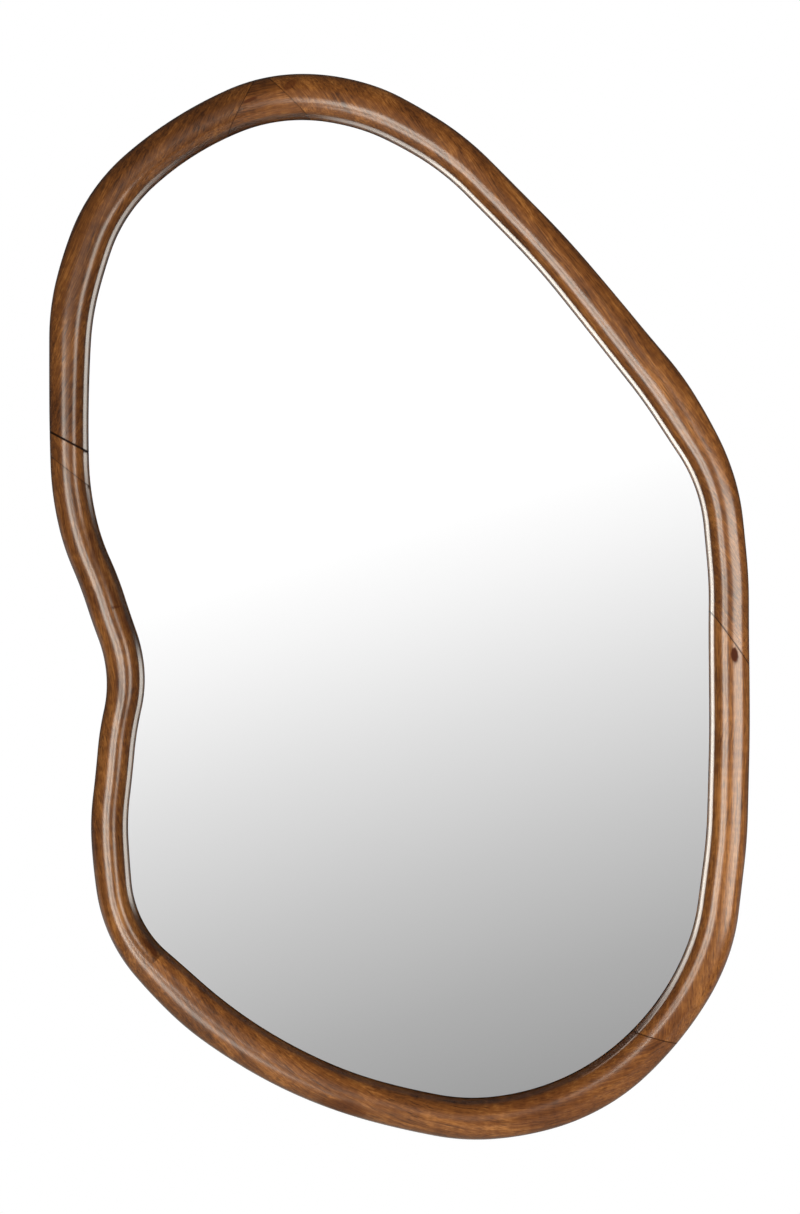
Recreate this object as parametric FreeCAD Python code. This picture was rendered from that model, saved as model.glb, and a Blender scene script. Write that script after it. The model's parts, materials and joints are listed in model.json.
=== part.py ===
import FreeCAD, Part
import math
import os
from collections import namedtuple

from FreeCAD import Vector

# Free-form wall mirror: a ring of seven dowelled pieces of wood round a mirror glass, a screwed
# back board, two strap hangers with hinged D-rings and four wall bumpers.
# Millimetres. +Z is up, the front faces -Y and the wall is the plane y = 0. The origin lies on
# the wall, midway between the two hooks and level with them.

# Middle line of the moulding: its width and height, and its stations (across, up) with the face
# width at each, clockwise from the top. The stations are stretched to the width and height.
MIDDLE_WIDTH = 660.0
MIDDLE_HEIGHT = 1021.0
STATIONS = [
    (-60, 253, 44.5),
    (4, 244, 44.5),
    (67, 214, 42),
    (167, 125, 40.5),
    (260, 17, 43.5),
    (317, -57, 45.5),
    (358, -136, 39.5),
    (369, -210, 39),
    (371, -300, 39.5),
    (371, -410, 39.5),
    (366, -512, 40),
    (349, -603, 41.5),
    (306, -676, 40.5),
    (238, -736, 43),
    (134, -768, 40.5),
    (24, -753, 39.5),
    (-101, -700, 42),
    (-175, -645, 42.5),
    (-232, -578, 35),
    (-248, -492, 36),
    (-242, -402, 36),
    (-233, -318, 37.5),
    (-252, -252, 38),
    (-280, -174, 37.5),
    (-289, -48, 38.5),
    (-280, 66, 43),
    (-247, 147, 42),
    (-183, 207, 40.5),
]

# Frame section
FRAME_DEPTH = 32.0
FRONT_ROUND = 16.5
BACK_ROUND = 2.5
ROUND_SHARE = 0.48
LIP_SHARE = 0.9
GLASS_LIP = 8.0
BOARD_LEDGE = 8.0

# Joints of the frame: share of the way round the middle line from the first station, clockwise,
# slope of the saw cut, gap left at the face and the piece that follows
GLUE_LINE = 0.15
OPEN_SEAM = 0.8
Joint = namedtuple("Joint", "name share slope gap next_piece")
JOINTS = [
    Joint("right", 0.2723, -54, GLUE_LINE, "frame_lower_right"),
    Joint("lower_right", 0.4238, -15, GLUE_LINE, "frame_bottom"),
    Joint("lower_left", 0.6322, 40, GLUE_LINE, "frame_lower_left"),
    Joint("left_lower", 0.819, -38, GLUE_LINE, "frame_left_splice"),
    Joint("left_upper", 0.8295, -28, OPEN_SEAM, "frame_upper_left"),
    Joint("top_left", 0.9793, 63, GLUE_LINE, "frame_top_splice"),
    Joint("top", 0.9962, -44, GLUE_LINE, "frame_upper_right"),
]
DOWEL_DIAMETER = 6.0
DOWEL_LENGTH = 22.0
DOWEL_CHAMFER = 0.8
DOWEL_PITCH = 16.0
DOWEL_COVER = 5.0
DOWEL_FIT = 0.05
DOWEL_END_GAP = 0.5

# Glass, silvering, liner and back board, stacked in the stepped rabbet
GLASS_THICKNESS = 4.0
SILVER_THICKNESS = 0.2
LINER_THICKNESS = 1.0
BOARD_THICKNESS = 5.0
BOARD_RECESS = 2.0
GLASS_EDGE_GAP = 1.0
BOARD_EDGE_GAP = 0.5
BOARD_SCREW_COUNT = 16

# Screws: shank, head and length under the head
SCREW_FIT = 0.05
SCREW_TIP = 3.0
SCREW_POINT = 0.3
Screw = namedtuple("Screw", "shank head head_height length")
BOARD_SCREW = Screw(3.0, 6.0, 1.8, 14.0)
HANGER_SCREW = Screw(3.5, 7.0, 2.2, 16.0)

# Strap hangers and their D-rings
FITTING_INSET = 12.5
STRAP_WIDTH = 14.0
STRAP_LENGTH = 42.0
STRAP_THICKNESS = 1.0
STRAP_HEAD_GAP = 2.7
EYE_MOUTH = 0.5
RING_WIRE = 2.5
RING_FIT = 0.05
RING_SIDE_PLAY = 1.25
RING_CORNER = 3.0
RING_LEG = 4.0

# Wall bumpers, each at a share of the way round from the first station, clockwise
BUMPER_THICKNESS = 5.0
BUMPER_DIAMETER = 12.0
BUMPER_TAPER = 1.0
BUMPER_ROUND = 1.0
BUMPER_SHARES = {
    "wall_bumper_top_right": 0.05,
    "wall_bumper_bottom_right": 0.44,
    "wall_bumper_bottom_left": 0.6,
    "wall_bumper_top_left": 0.92,
}

# Levels from the wall forwards
BACK = -BUMPER_THICKNESS
CREST = BACK - FRAME_DEPTH
BOARD_BACK = BACK - BOARD_RECESS
BOARD_FRONT = BOARD_BACK - BOARD_THICKNESS
LINER_FRONT = BOARD_FRONT - LINER_THICKNESS
SILVER_FRONT = LINER_FRONT - SILVER_THICKNESS
GLASS_FRONT = SILVER_FRONT - GLASS_THICKNESS
DOWEL_LEVEL = GLASS_FRONT - DOWEL_COVER - DOWEL_DIAMETER / 2

# Sizes that follow from the ones above
NARROWEST = min(width for _, _, width in STATIONS)
WIDEST = max(width for _, _, width in STATIONS)
ROUND = min(FRONT_ROUND, ROUND_SHARE * NARROWEST, LIP_SHARE * (GLASS_FRONT - CREST))
EYE_BORE = RING_WIRE / 2 + RING_FIT
EYE_RADIUS = EYE_BORE + STRAP_THICKNESS
EYE_WRAP = 360 - math.degrees(math.acos((EYE_BORE - EYE_MOUTH) / EYE_RADIUS))
RING_HALF = STRAP_WIDTH / 2 + RING_SIDE_PLAY + RING_CORNER
RING_INSIDE = RING_HALF - RING_WIRE / 2
NEAR_HOLE = EYE_RADIUS + STRAP_HEAD_GAP + HANGER_SCREW.head / 2
FAR_HOLE = STRAP_LENGTH - STRAP_WIDTH / 2
SAW_REACH = 2.2 * WIDEST
END_ROUND = 0.49 * STRAP_WIDTH
OVERSHOOT = 10.0

# Limits for telling points apart
IN_LINE = 1e-6
ON_WIRE = 1e-4
FOOT_ZONE = 0.1

ACROSS = Vector(1, 0, 0)
TO_WALL = Vector(0, 1, 0)
UP = Vector(0, 0, 1)


def left_of(heading):
    """Direction to the left of a heading, seen from the front."""
    return Vector(-heading.z, 0, heading.x)


def headings_of(points):
    """Heading at each point of a closed chain, from the circle through it and its neighbours."""
    headings = []
    for index, point in enumerate(points):
        before = point - points[index - 1]
        after = points[(index + 1) % len(points)] - point
        heading = before * (1 / before.Length**2) + after * (1 / after.Length**2)
        headings.append(heading.normalize())
    return headings


def arc_from(start, heading, end):
    """Arc that leaves a point on a heading, as three points with their outward sides.

    The heading on which it reaches the end comes with it.
    """
    chord = end - start
    along = Vector(chord).normalize()
    side = left_of(along)
    bulge = chord.Length / 2 * side.dot(heading) / (1 + along.dot(heading))
    middle = (start + end) * 0.5 + side * bulge
    end_heading = along * (2 * along.dot(heading)) - heading
    arc = [(start, left_of(heading)), (middle, side), (end, left_of(end_heading))]
    return arc, end_heading


def bent_edge(start, middle, end):
    """Arc through three points, or a straight edge where they are in line."""
    if (start + end - middle * 2).Length < IN_LINE:
        return Part.LineSegment(start, end).toShape()
    return Part.Arc(start, middle, end).toShape()


class Outline:
    """Closed clockwise chain of tangent arcs, two from each point to the next."""

    def __init__(self, points):
        self.points = points
        self.headings = headings_of(points)
        self.arcs = []
        for index, start in enumerate(points):
            following = (index + 1) % len(points)
            self.add_span(start, self.headings[index], points[following], self.headings[following])

    def add_span(self, start, heading, end, end_heading):
        """Two tangent arcs of equal reach from one headed point to the next."""
        chord = end - start
        both = chord.dot(heading + end_heading)
        bend = 2 * (1 - heading.dot(end_heading))
        reach = chord.Length**2 / (both + math.sqrt(both**2 + bend * chord.Length**2))
        meeting = (start + end + (heading - end_heading) * reach) * 0.5
        first, meeting_heading = arc_from(start, heading, meeting)
        second, _ = arc_from(meeting, meeting_heading, end)
        self.arcs += [first, second]

    def wire(self, level, outwards=0.0):
        """The chain at a level, or its exact parallel further out."""
        edges = []
        for arc in self.arcs:
            edges.append(bent_edge(*[point + side * outwards + TO_WALL * level for point, side in arc]))
        return Part.Wire(edges)

    def prism(self, back, front, outwards=0.0):
        """Solid between two levels inside the chain or its parallel."""
        return Part.Face(self.wire(back, outwards)).extrude(TO_WALL * (front - back))


def middle_line():
    """Middle line of the moulding, stretched to its width and height."""
    across = [x for x, _, _ in STATIONS]
    up = [z for _, z, _ in STATIONS]
    wider = MIDDLE_WIDTH / (max(across) - min(across))
    higher = MIDDLE_HEIGHT / (max(up) - min(up))
    return Outline([Vector(x * wider, 0, z * higher) for x, z in zip(across, up)])


def moulding_edge(middle, sign):
    """Outer (1) or inner (-1) edge of the moulding, half its width from the middle."""
    points = []
    for point, heading, station in zip(middle.points, middle.headings, STATIONS):
        points.append(point + left_of(heading) * (sign * station[2] / 2))
    return Outline(points)


def heading_at(wire, point):
    """Direction of a wire at the place nearest to a point."""
    nearest = min(wire.Edges, key=lambda edge: edge.distToShape(Part.Vertex(point))[0])
    return nearest.tangentAt(nearest.Curve.parameter(point))


def part_way(wire, share):
    """Point at a share of the way along a wire."""
    return wire.discretize(Distance=share * wire.Length)[1]


def edges_on(shape, wire):
    """Edges of a shape whose middles lie on a wire."""
    chosen = []
    for edge in shape.Edges:
        middle = edge.valueAt((edge.FirstParameter + edge.LastParameter) / 2)
        if wire.distToShape(Part.Vertex(middle))[0] < ON_WIRE:
            chosen.append(edge)
    return chosen


def frame_ring(outer, inner):
    """Whole moulding before it is sawn: rounded front edges and a stepped rabbet at the back."""
    blank = outer.prism(BACK, CREST).cut(inner.prism(BACK, CREST))
    front_edges = edges_on(blank, outer.wire(CREST)) + edges_on(blank, inner.wire(CREST))
    ring = blank.makeFillet(ROUND, front_edges)
    ring = ring.makeFillet(BACK_ROUND, edges_on(ring, outer.wire(BACK)))
    glass_rabbet = inner.prism(BACK + OVERSHOOT, GLASS_FRONT, GLASS_LIP)
    board_rabbet = inner.prism(BACK + OVERSHOOT, BOARD_FRONT, GLASS_LIP + BOARD_LEDGE)
    return ring.cut(glass_rabbet).cut(board_rabbet)


def saw_cut(joint, place):
    """Thin slab along a joint, square to the face of the frame."""
    slab = Part.makeBox(SAW_REACH, FRAME_DEPTH + 2 * OVERSHOOT, joint.gap)
    slab.translate(Vector(-SAW_REACH / 2, CREST - OVERSHOOT, -joint.gap / 2))
    slab.rotate(Vector(), TO_WALL, -joint.slope)
    slab.translate(Vector(place.x, 0, place.z))
    return slab


def dowel_seats(joint, place):
    """Middles of a joint's two dowels, along its saw cut."""
    slope = math.radians(joint.slope)
    along_cut = Vector(math.cos(slope), 0, math.sin(slope))
    return [place + along_cut * (end * DOWEL_PITCH / 2) for end in (-1, 1)]


def bar_between(middle, heading, length, diameter):
    """Round bar centred on a point."""
    return Part.makeCylinder(diameter / 2, length, middle - heading * (length / 2), heading)


def dowel(middle, heading):
    """Dowel with both ends chamfered."""
    bar = bar_between(middle, heading, DOWEL_LENGTH, DOWEL_DIAMETER)
    rims = [edge for edge in bar.Edges if edge.Closed]
    return bar.makeChamfer(DOWEL_CHAMFER, rims)


def dowel_hole(middle, heading):
    """Hole for a dowel, in both pieces at once."""
    return bar_between(middle, heading, DOWEL_LENGTH + 2 * DOWEL_END_GAP, DOWEL_DIAMETER + 2 * DOWEL_FIT)


def lathe(profile):
    """Solid turned about the Y axis from a profile of radii and levels."""
    corners = [Vector(radius, level, 0) for radius, level in profile]
    return Part.Face(Part.makePolygon(corners + corners[:1])).revolve(Vector(), TO_WALL, 360)


def screw(kind, seat):
    """Pan-head screw driven towards the front, its head on the seat."""
    shank = kind.shank / 2
    head = kind.head / 2
    body = lathe([
        (0, -kind.length),
        (SCREW_POINT, -kind.length),
        (shank, SCREW_TIP - kind.length),
        (shank, 0),
        (head, 0),
        (head, kind.head_height / 2),
        (head - kind.head_height / 2, kind.head_height),
        (0, kind.head_height),
    ])
    body.translate(seat)
    return body


def screw_hole(kind, seat):
    """Hole that a screw's shank fits, from its seat forwards."""
    return Part.makeCylinder(kind.shank / 2 + SCREW_FIT, kind.length + SCREW_FIT, seat, -TO_WALL)


def board_screw_seats(inner):
    """Places of the back board's screws, spread along the middle of its ledge."""
    ledge = inner.wire(BOARD_BACK, GLASS_LIP + BOARD_LEDGE / 2)
    return ledge.discretize(Number=2 * BOARD_SCREW_COUNT + 1)[1::2]


def back_board(inner, screw_seats):
    """Back board on its ledge, with its screw holes."""
    board = inner.prism(BOARD_BACK, BOARD_FRONT, GLASS_LIP + BOARD_LEDGE - BOARD_EDGE_GAP)
    return board.cut([screw_hole(BOARD_SCREW, seat) for seat in screw_seats])


def hanger_place(land, side):
    """Place of a hanger along the frame, so that the top of its ring is level with the origin."""
    level = -(RING_INSIDE + RING_LEG + STRAP_LENGTH / 2)
    reach = side * land.BoundBox.XLength
    row = Part.LineSegment(Vector(0, BACK, level), Vector(reach, BACK, level)).toShape()
    seat = land.distToShape(row)[1][0][0]
    heading = heading_at(land, seat)
    lean = round(math.degrees(math.atan(heading.x / heading.z)))
    along = FreeCAD.Rotation(TO_WALL, lean).multVec(UP)
    rise = (-RING_INSIDE - RING_LEG * along.z - seat.z) / along.z
    axis = seat + along * rise + TO_WALL * EYE_RADIUS
    return FreeCAD.Placement(axis, FreeCAD.Rotation(TO_WALL, lean))


def hook_point(place):
    """Where the wall hook carries a hanger: the highest point inside its ring."""
    return place.multVec(UP * RING_LEG) + UP * RING_INSIDE


def strap():
    """Hanger strap: a flat plate whose top is rolled into an eye round the hinge axis."""

    def on_eye(radius, angle):
        turned = math.radians(angle)
        return Vector(0, -radius * math.cos(turned), radius * math.sin(turned))

    foot = UP * -STRAP_LENGTH
    outer_foot = foot - TO_WALL * EYE_RADIUS
    inner_foot = foot - TO_WALL * EYE_BORE
    outside = [on_eye(EYE_RADIUS, share * EYE_WRAP) for share in (0, 0.5, 1)]
    inside = [on_eye(EYE_BORE, share * EYE_WRAP) for share in (1, 0.5, 0)]
    section = Part.Wire([
        Part.makeLine(outer_foot, outside[0]),
        Part.Arc(*outside).toShape(),
        Part.makeLine(outside[2], inside[0]),
        Part.Arc(*inside).toShape(),
        Part.makeLine(inside[2], inner_foot),
        Part.makeLine(inner_foot, outer_foot),
    ])
    plate = Part.Face(section).extrude(ACROSS * STRAP_WIDTH)
    plate.translate(ACROSS * (-STRAP_WIDTH / 2))
    corners = [edge for edge in plate.Edges if edge.BoundBox.ZMax < FOOT_ZONE - STRAP_LENGTH
               and edge.BoundBox.YLength > FOOT_ZONE]
    plate = plate.makeFillet(END_ROUND, corners)
    return plate.cut([screw_hole(HANGER_SCREW, seat) for seat in strap_screw_seats()])


def strap_screw_seats():
    """Places of a strap's two screws, on its face towards the wall."""
    return [Vector(0, -EYE_BORE, -distance) for distance in (NEAR_HOLE, FAR_HOLE)]


def ring():
    """D-ring bent from round wire, upright, with its bar on the hinge axis."""
    straight = RING_HALF - RING_CORNER
    bar = bar_between(Vector(), ACROSS, 2 * straight, RING_WIRE)

    def disc(place, normal):
        return Part.Face(Part.Wire(Part.makeCircle(RING_WIRE / 2, place, normal)))

    corner_start = disc(ACROSS * straight, ACROSS)
    corner = corner_start.revolve(Vector(straight, 0, RING_CORNER), -TO_WALL, 90)
    leg = disc(Vector(RING_HALF, 0, RING_CORNER), UP).extrude(UP * (RING_LEG - RING_CORNER))
    top = disc(Vector(RING_HALF, 0, RING_LEG), UP).revolve(UP * RING_LEG, -TO_WALL, 180)
    mirrored = [piece.mirror(Vector(), ACROSS) for piece in (corner, leg)]
    return bar.fuse([corner, leg, top] + mirrored).removeSplitter()


def bumper(seat):
    """Tapered rubber bumper between the frame and the wall."""
    base = BUMPER_DIAMETER / 2
    body = Part.makeCone(base, base - BUMPER_TAPER, BUMPER_THICKNESS, seat, TO_WALL)
    rim = [edge for edge in body.Edges if edge.Closed and edge.BoundBox.YMin > -BUMPER_ROUND]
    return body.makeFillet(BUMPER_ROUND, rim)


def clockwise_from(start, centre):
    """Sorting key: angle of a solid round the centre of the frame, clockwise from a point."""

    def angle_of(point):
        return math.atan2(point.z - centre.z, point.x - centre.x)

    return lambda solid: (angle_of(start) - angle_of(solid.CenterOfMass)) % (2 * math.pi)


def main():
    """Build every piece and write each node to its file."""
    middle = middle_line()
    outer = moulding_edge(middle, 1)
    inner = moulding_edge(middle, -1)
    nodes = {}

    # Glass, its silvering, the liner and the back board
    glass_outline = GLASS_LIP - GLASS_EDGE_GAP
    nodes["mirror_glass"] = [inner.prism(SILVER_FRONT, GLASS_FRONT, glass_outline)]
    nodes["mirror_silvering"] = [inner.prism(LINER_FRONT, SILVER_FRONT, glass_outline)]
    nodes["foam_liner"] = [inner.prism(BOARD_FRONT, LINER_FRONT, glass_outline)]
    board_seats = board_screw_seats(inner)
    nodes["back_board"] = [back_board(inner, board_seats)]
    nodes["back_board_screws"] = [screw(BOARD_SCREW, seat) for seat in board_seats]
    holes = [screw_hole(BOARD_SCREW, seat) for seat in board_seats]

    # Hangers on the land between the outer edge and the rabbet
    land = outer.wire(BACK, -FITTING_INSET)
    hooks = []
    for name, side in (("left", -1), ("right", 1)):
        place = hanger_place(land, side)
        hooks.append(hook_point(place))
        nodes["hanger_strap_" + name] = [strap().transformed(place.Matrix)]
        nodes["hanger_ring_" + name] = [ring().transformed(place.Matrix)]
        seats = [place.multVec(seat) for seat in strap_screw_seats()]
        nodes["hanger_screws_" + name] = [screw(HANGER_SCREW, seat) for seat in seats]
        holes += [screw_hole(HANGER_SCREW, seat) for seat in seats]
        print(name, "hinge axis", place.Base, "lean", math.degrees(place.Rotation.Angle))

    # Bumpers on the same land
    for name, share in BUMPER_SHARES.items():
        nodes[name] = [bumper(part_way(land, share))]

    # Frame, sawn at its joints and bored for dowels and screws
    middle_wire = middle.wire(DOWEL_LEVEL)
    places = [part_way(middle_wire, joint.share) for joint in JOINTS]
    cuts = []
    for joint, place in zip(JOINTS, places):
        cuts.append(saw_cut(joint, place))
        seats = dowel_seats(joint, place)
        heading = heading_at(middle_wire, place)
        nodes["dowels_" + joint.name] = [dowel(seat, heading) for seat in seats]
        holes += [dowel_hole(seat, heading) for seat in seats]
    sawn = frame_ring(outer, inner).cut(cuts + holes)
    pieces = sorted(sawn.Solids, key=clockwise_from(places[0], middle_wire.BoundBox.Center))
    for joint, piece in zip(JOINTS, pieces):
        nodes[joint.next_piece] = [piece]
    print(len(pieces), "pieces of the frame")

    # Origin midway between the hooks
    to_origin = ACROSS * (-(hooks[0].x + hooks[1].x) / 2)
    print("hooks", hooks, "moved by", to_origin.x)
    os.makedirs("parts", exist_ok=True)
    for name, solids in nodes.items():
        shape = Part.makeCompound(solids) if len(solids) > 1 else solids[0]
        shape.translate(to_origin)
        shape.exportStep("parts/" + name + ".step")
        print(name, len(solids), "valid" if shape.isValid() else "NOT VALID", round(shape.Volume, 1))


main()
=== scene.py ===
"""Looks of a free-form wall mirror: a varnished wooden moulding round a sheet of mirror glass.

Sizes are written in millimetres and laid out in metres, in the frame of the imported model: x runs
to the right, y towards the wall and z up.
"""

import json
import logging
import math
from contextlib import contextmanager
from dataclasses import dataclass, field
from enum import Enum
from typing import Any, Callable, Iterator, Optional, Sequence, Union

import bmesh
import bpy
from mathutils import Matrix, Vector


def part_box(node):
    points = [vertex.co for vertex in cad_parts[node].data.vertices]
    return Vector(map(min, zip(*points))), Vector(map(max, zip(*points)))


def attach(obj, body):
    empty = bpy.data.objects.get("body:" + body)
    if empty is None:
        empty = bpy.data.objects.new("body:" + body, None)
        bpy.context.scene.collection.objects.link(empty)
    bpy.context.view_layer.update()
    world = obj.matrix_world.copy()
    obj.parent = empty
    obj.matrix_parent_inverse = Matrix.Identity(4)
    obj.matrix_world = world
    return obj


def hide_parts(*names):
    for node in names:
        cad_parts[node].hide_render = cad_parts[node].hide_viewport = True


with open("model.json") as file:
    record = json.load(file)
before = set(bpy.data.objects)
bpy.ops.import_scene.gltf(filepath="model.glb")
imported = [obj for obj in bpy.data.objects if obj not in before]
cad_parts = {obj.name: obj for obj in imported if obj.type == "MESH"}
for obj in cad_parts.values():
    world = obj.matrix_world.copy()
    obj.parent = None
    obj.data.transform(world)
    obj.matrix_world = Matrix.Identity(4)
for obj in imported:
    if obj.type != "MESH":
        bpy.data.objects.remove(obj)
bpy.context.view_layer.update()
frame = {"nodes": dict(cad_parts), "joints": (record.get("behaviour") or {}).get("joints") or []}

LOG = logging.getLogger("wall_mirror")
MM = 0.001
MIRROR_BODY = "mirror"

# Middle line of the moulding, clockwise from the top: across, up and face width at each station.
STATIONS = [
    (-60, 253, 44.5),
    (4, 244, 44.5),
    (67, 214, 42),
    (167, 125, 40.5),
    (260, 17, 43.5),
    (317, -57, 45.5),
    (358, -136, 39.5),
    (369, -210, 39),
    (371, -300, 39.5),
    (371, -410, 39.5),
    (366, -512, 40),
    (349, -603, 41.5),
    (306, -676, 40.5),
    (238, -736, 43),
    (134, -768, 40.5),
    (24, -753, 39.5),
    (-101, -700, 42),
    (-175, -645, 42.5),
    (-232, -578, 35),
    (-248, -492, 36),
    (-242, -402, 36),
    (-233, -318, 37.5),
    (-252, -252, 38),
    (-280, -174, 37.5),
    (-289, -48, 38.5),
    (-280, 66, 43),
    (-247, 147, 42),
    (-183, 207, 40.5),
]
# The hooks' middle is the origin of the frame, and the stations are written from a point beside it.
HOOKS_ASIDE = 0.3524

# Levels of the frame, towards the wall.
BACK = -5.0
CREST = -37.0
SHOULDER = -20.5
GLASS_FRONT = -17.2
SILVER_FRONT = -13.2
LINER_FRONT = -13.0
BOARD_FRONT = -12.0
BOARD_BACK = -7.0
GLASS_LIP = 8.0
BOARD_LEDGE = 8.0

# A point in the middle of the glass, in metres.
MIRROR_MIDDLE = (0.04, 0.0, -0.25)

TO_WALL = Vector((0.0, 1.0, 0.0))
# An arc that turns by less, in radians, is straight.
IN_LINE = 1e-6
# A face looks in a direction when the cosine between them is larger.
ALIGNED = 0.99
# Points that are nearer to each other are merged.
MERGE = 0.002


class Elements(Enum):
    """Kind of element that a selection in edit mode works on."""

    POINTS = "VERT"
    EDGES = "EDGE"
    FACES = "FACE"


class Side(Enum):
    """Side of the mirror that a hanger is on."""

    LEFT = "left"
    RIGHT = "right"


def srgb(red: int, green: int, blue: int) -> tuple[float, float, float, float]:
    """Return a colour written in screen values as a linear colour.

    Args:
        red: Screen value of red, from 0 to 255.
        green: Screen value of green.
        blue: Screen value of blue.

    Returns:
        The linear colour, with full alpha.
    """

    def linear(value: int) -> float:
        """Return one screen value as a share of linear light."""
        share = value / 255
        return share / 12.92 if share <= 0.04045 else ((share + 0.055) / 1.055) ** 2.4

    return linear(red), linear(green), linear(blue), 1.0


class Bench:
    """Modelling steps, each a few operators on one piece."""

    @staticmethod
    def start(adder: Callable[..., Any], name: str, **sizes: Any) -> bpy.types.Object:
        """Add a primitive, with nothing else selected, and put its place in its mesh.

        Args:
            adder: Operator that adds the primitive.
            name: Name of the piece and of its mesh.
            sizes: Settings of the operator.

        Returns:
            The new object.
        """
        bpy.ops.object.select_all(action="DESELECT")
        adder(**sizes)
        bpy.ops.object.transform_apply(location=True, rotation=True, scale=True)
        piece = bpy.context.active_object
        piece.name = name
        piece.data.name = name
        return piece

    @staticmethod
    def take(piece: bpy.types.Object) -> None:
        """Make one piece the only selected and the active one.

        Args:
            piece: The piece to select.
        """
        bpy.ops.object.select_all(action="DESELECT")
        piece.select_set(True)
        bpy.context.view_layer.objects.active = piece

    @staticmethod
    @contextmanager
    def editing(piece: bpy.types.Object, elements: Elements) -> Iterator[None]:
        """Hold a piece in edit mode for the length of a block.

        Args:
            piece: The piece to edit.
            elements: What the selection works on.
        """
        Bench.take(piece)
        bpy.ops.object.mode_set(mode="EDIT")
        bpy.ops.mesh.select_mode(type=elements.value)
        yield
        bpy.ops.object.mode_set(mode="OBJECT")

    @staticmethod
    def pick(elements: Elements, test: Callable[[Any], bool]) -> None:
        """Select the elements of the edited piece that pass a test.

        Args:
            elements: Kind of element to look through.
            test: Says of one element whether it is selected.
        """
        bpy.ops.mesh.select_mode(type=elements.value)
        bpy.ops.mesh.select_all(action="DESELECT")
        mesh = bpy.context.edit_object.data
        shape = bmesh.from_edit_mesh(mesh)
        shape.normal_update()
        rows = {
            Elements.POINTS: shape.verts,
            Elements.EDGES: shape.edges,
            Elements.FACES: shape.faces,
        }
        for element in rows[elements]:
            if test(element):
                element.select_set(True)
        shape.select_flush_mode()
        bmesh.update_edit_mesh(mesh)

    @staticmethod
    def facing(direction: Vector) -> Callable[[Any], bool]:
        """Return a test for faces that look in a direction."""
        return lambda face: face.normal.dot(direction) > ALIGNED

    @staticmethod
    def extrude(move: Vector) -> None:
        """Extrude what is selected by a move in millimetres."""
        bpy.ops.mesh.extrude_region_move(TRANSFORM_OT_translate={"value": move * MM})

    @staticmethod
    def sweep(centre: Vector, axis: Vector, degrees: float, steps: int) -> None:
        """Spin what is selected about an axis, by the right-hand rule.

        Args:
            centre: Point on the axis, in millimetres.
            axis: Direction of the axis.
            degrees: Angle of the turn.
            steps: Number of steps in the turn.
        """
        bpy.ops.mesh.spin(steps=steps, angle=-math.radians(degrees), center=centre * MM, axis=axis)

    @staticmethod
    def lay(piece: bpy.types.Object, points: Sequence[Vector]) -> None:
        """Put a mesh's points, in their order, at new places.

        Args:
            piece: The piece that owns the mesh.
            points: A place in millimetres for each point.
        """
        flat = [coordinate * MM for point in points for coordinate in point]
        piece.data.vertices.foreach_set("co", flat)
        piece.data.update()

    @staticmethod
    def use(piece: bpy.types.Object, kind: str, **settings: Any) -> None:
        """Add a modifier to a piece and apply it.

        Args:
            piece: The piece that is changed.
            kind: Type of the modifier.
            settings: Its settings.
        """
        Bench.take(piece)
        modifier = piece.modifiers.new(kind.lower(), kind)
        for name, value in settings.items():
            setattr(modifier, name, value)
        bpy.ops.object.modifier_apply(modifier=modifier.name)

    @staticmethod
    def cut(piece: bpy.types.Object, cutter: bpy.types.Object) -> None:
        """Cut the shape of one piece out of another and remove the cutter."""
        Bench.use(piece, "BOOLEAN", operation="DIFFERENCE", object=cutter, solver="EXACT")
        bpy.data.objects.remove(cutter)

    @staticmethod
    def copies(piece: bpy.types.Object, places: Sequence[Matrix], name: str) -> bpy.types.Object:
        """Copy a piece to several places, join the copies and remove the first.

        Args:
            piece: The piece, modelled about the origin.
            places: Where each copy goes, in metres.
            name: Name of the joined piece.

        Returns:
            The joined copies as one object.
        """
        made = []
        for place in places:
            Bench.take(piece)
            bpy.ops.object.duplicate()
            copy = bpy.context.active_object
            copy.data.transform(place)
            made.append(copy)
        bpy.data.objects.remove(piece)
        Bench.take(made[0])
        for copy in made:
            copy.select_set(True)
        bpy.ops.object.join()
        joined = bpy.context.active_object
        joined.name = name
        joined.data.name = name
        return joined

    @staticmethod
    def settle(piece: bpy.types.Object, smooth: float = 32.0) -> None:
        """Close a piece, point it outwards and smooth it.

        Args:
            piece: The finished piece.
            smooth: Edges that bend by less than this angle, in degrees, are shaded smooth.
        """
        with Bench.editing(piece, Elements.POINTS):
            bpy.ops.mesh.select_all(action="SELECT")
            bpy.ops.mesh.remove_doubles(threshold=MERGE * MM)
            bpy.ops.mesh.normals_make_consistent(inside=False)
        bpy.ops.object.shade_smooth_by_angle(angle=math.radians(smooth))


Value = Union["Signal", float]


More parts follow.
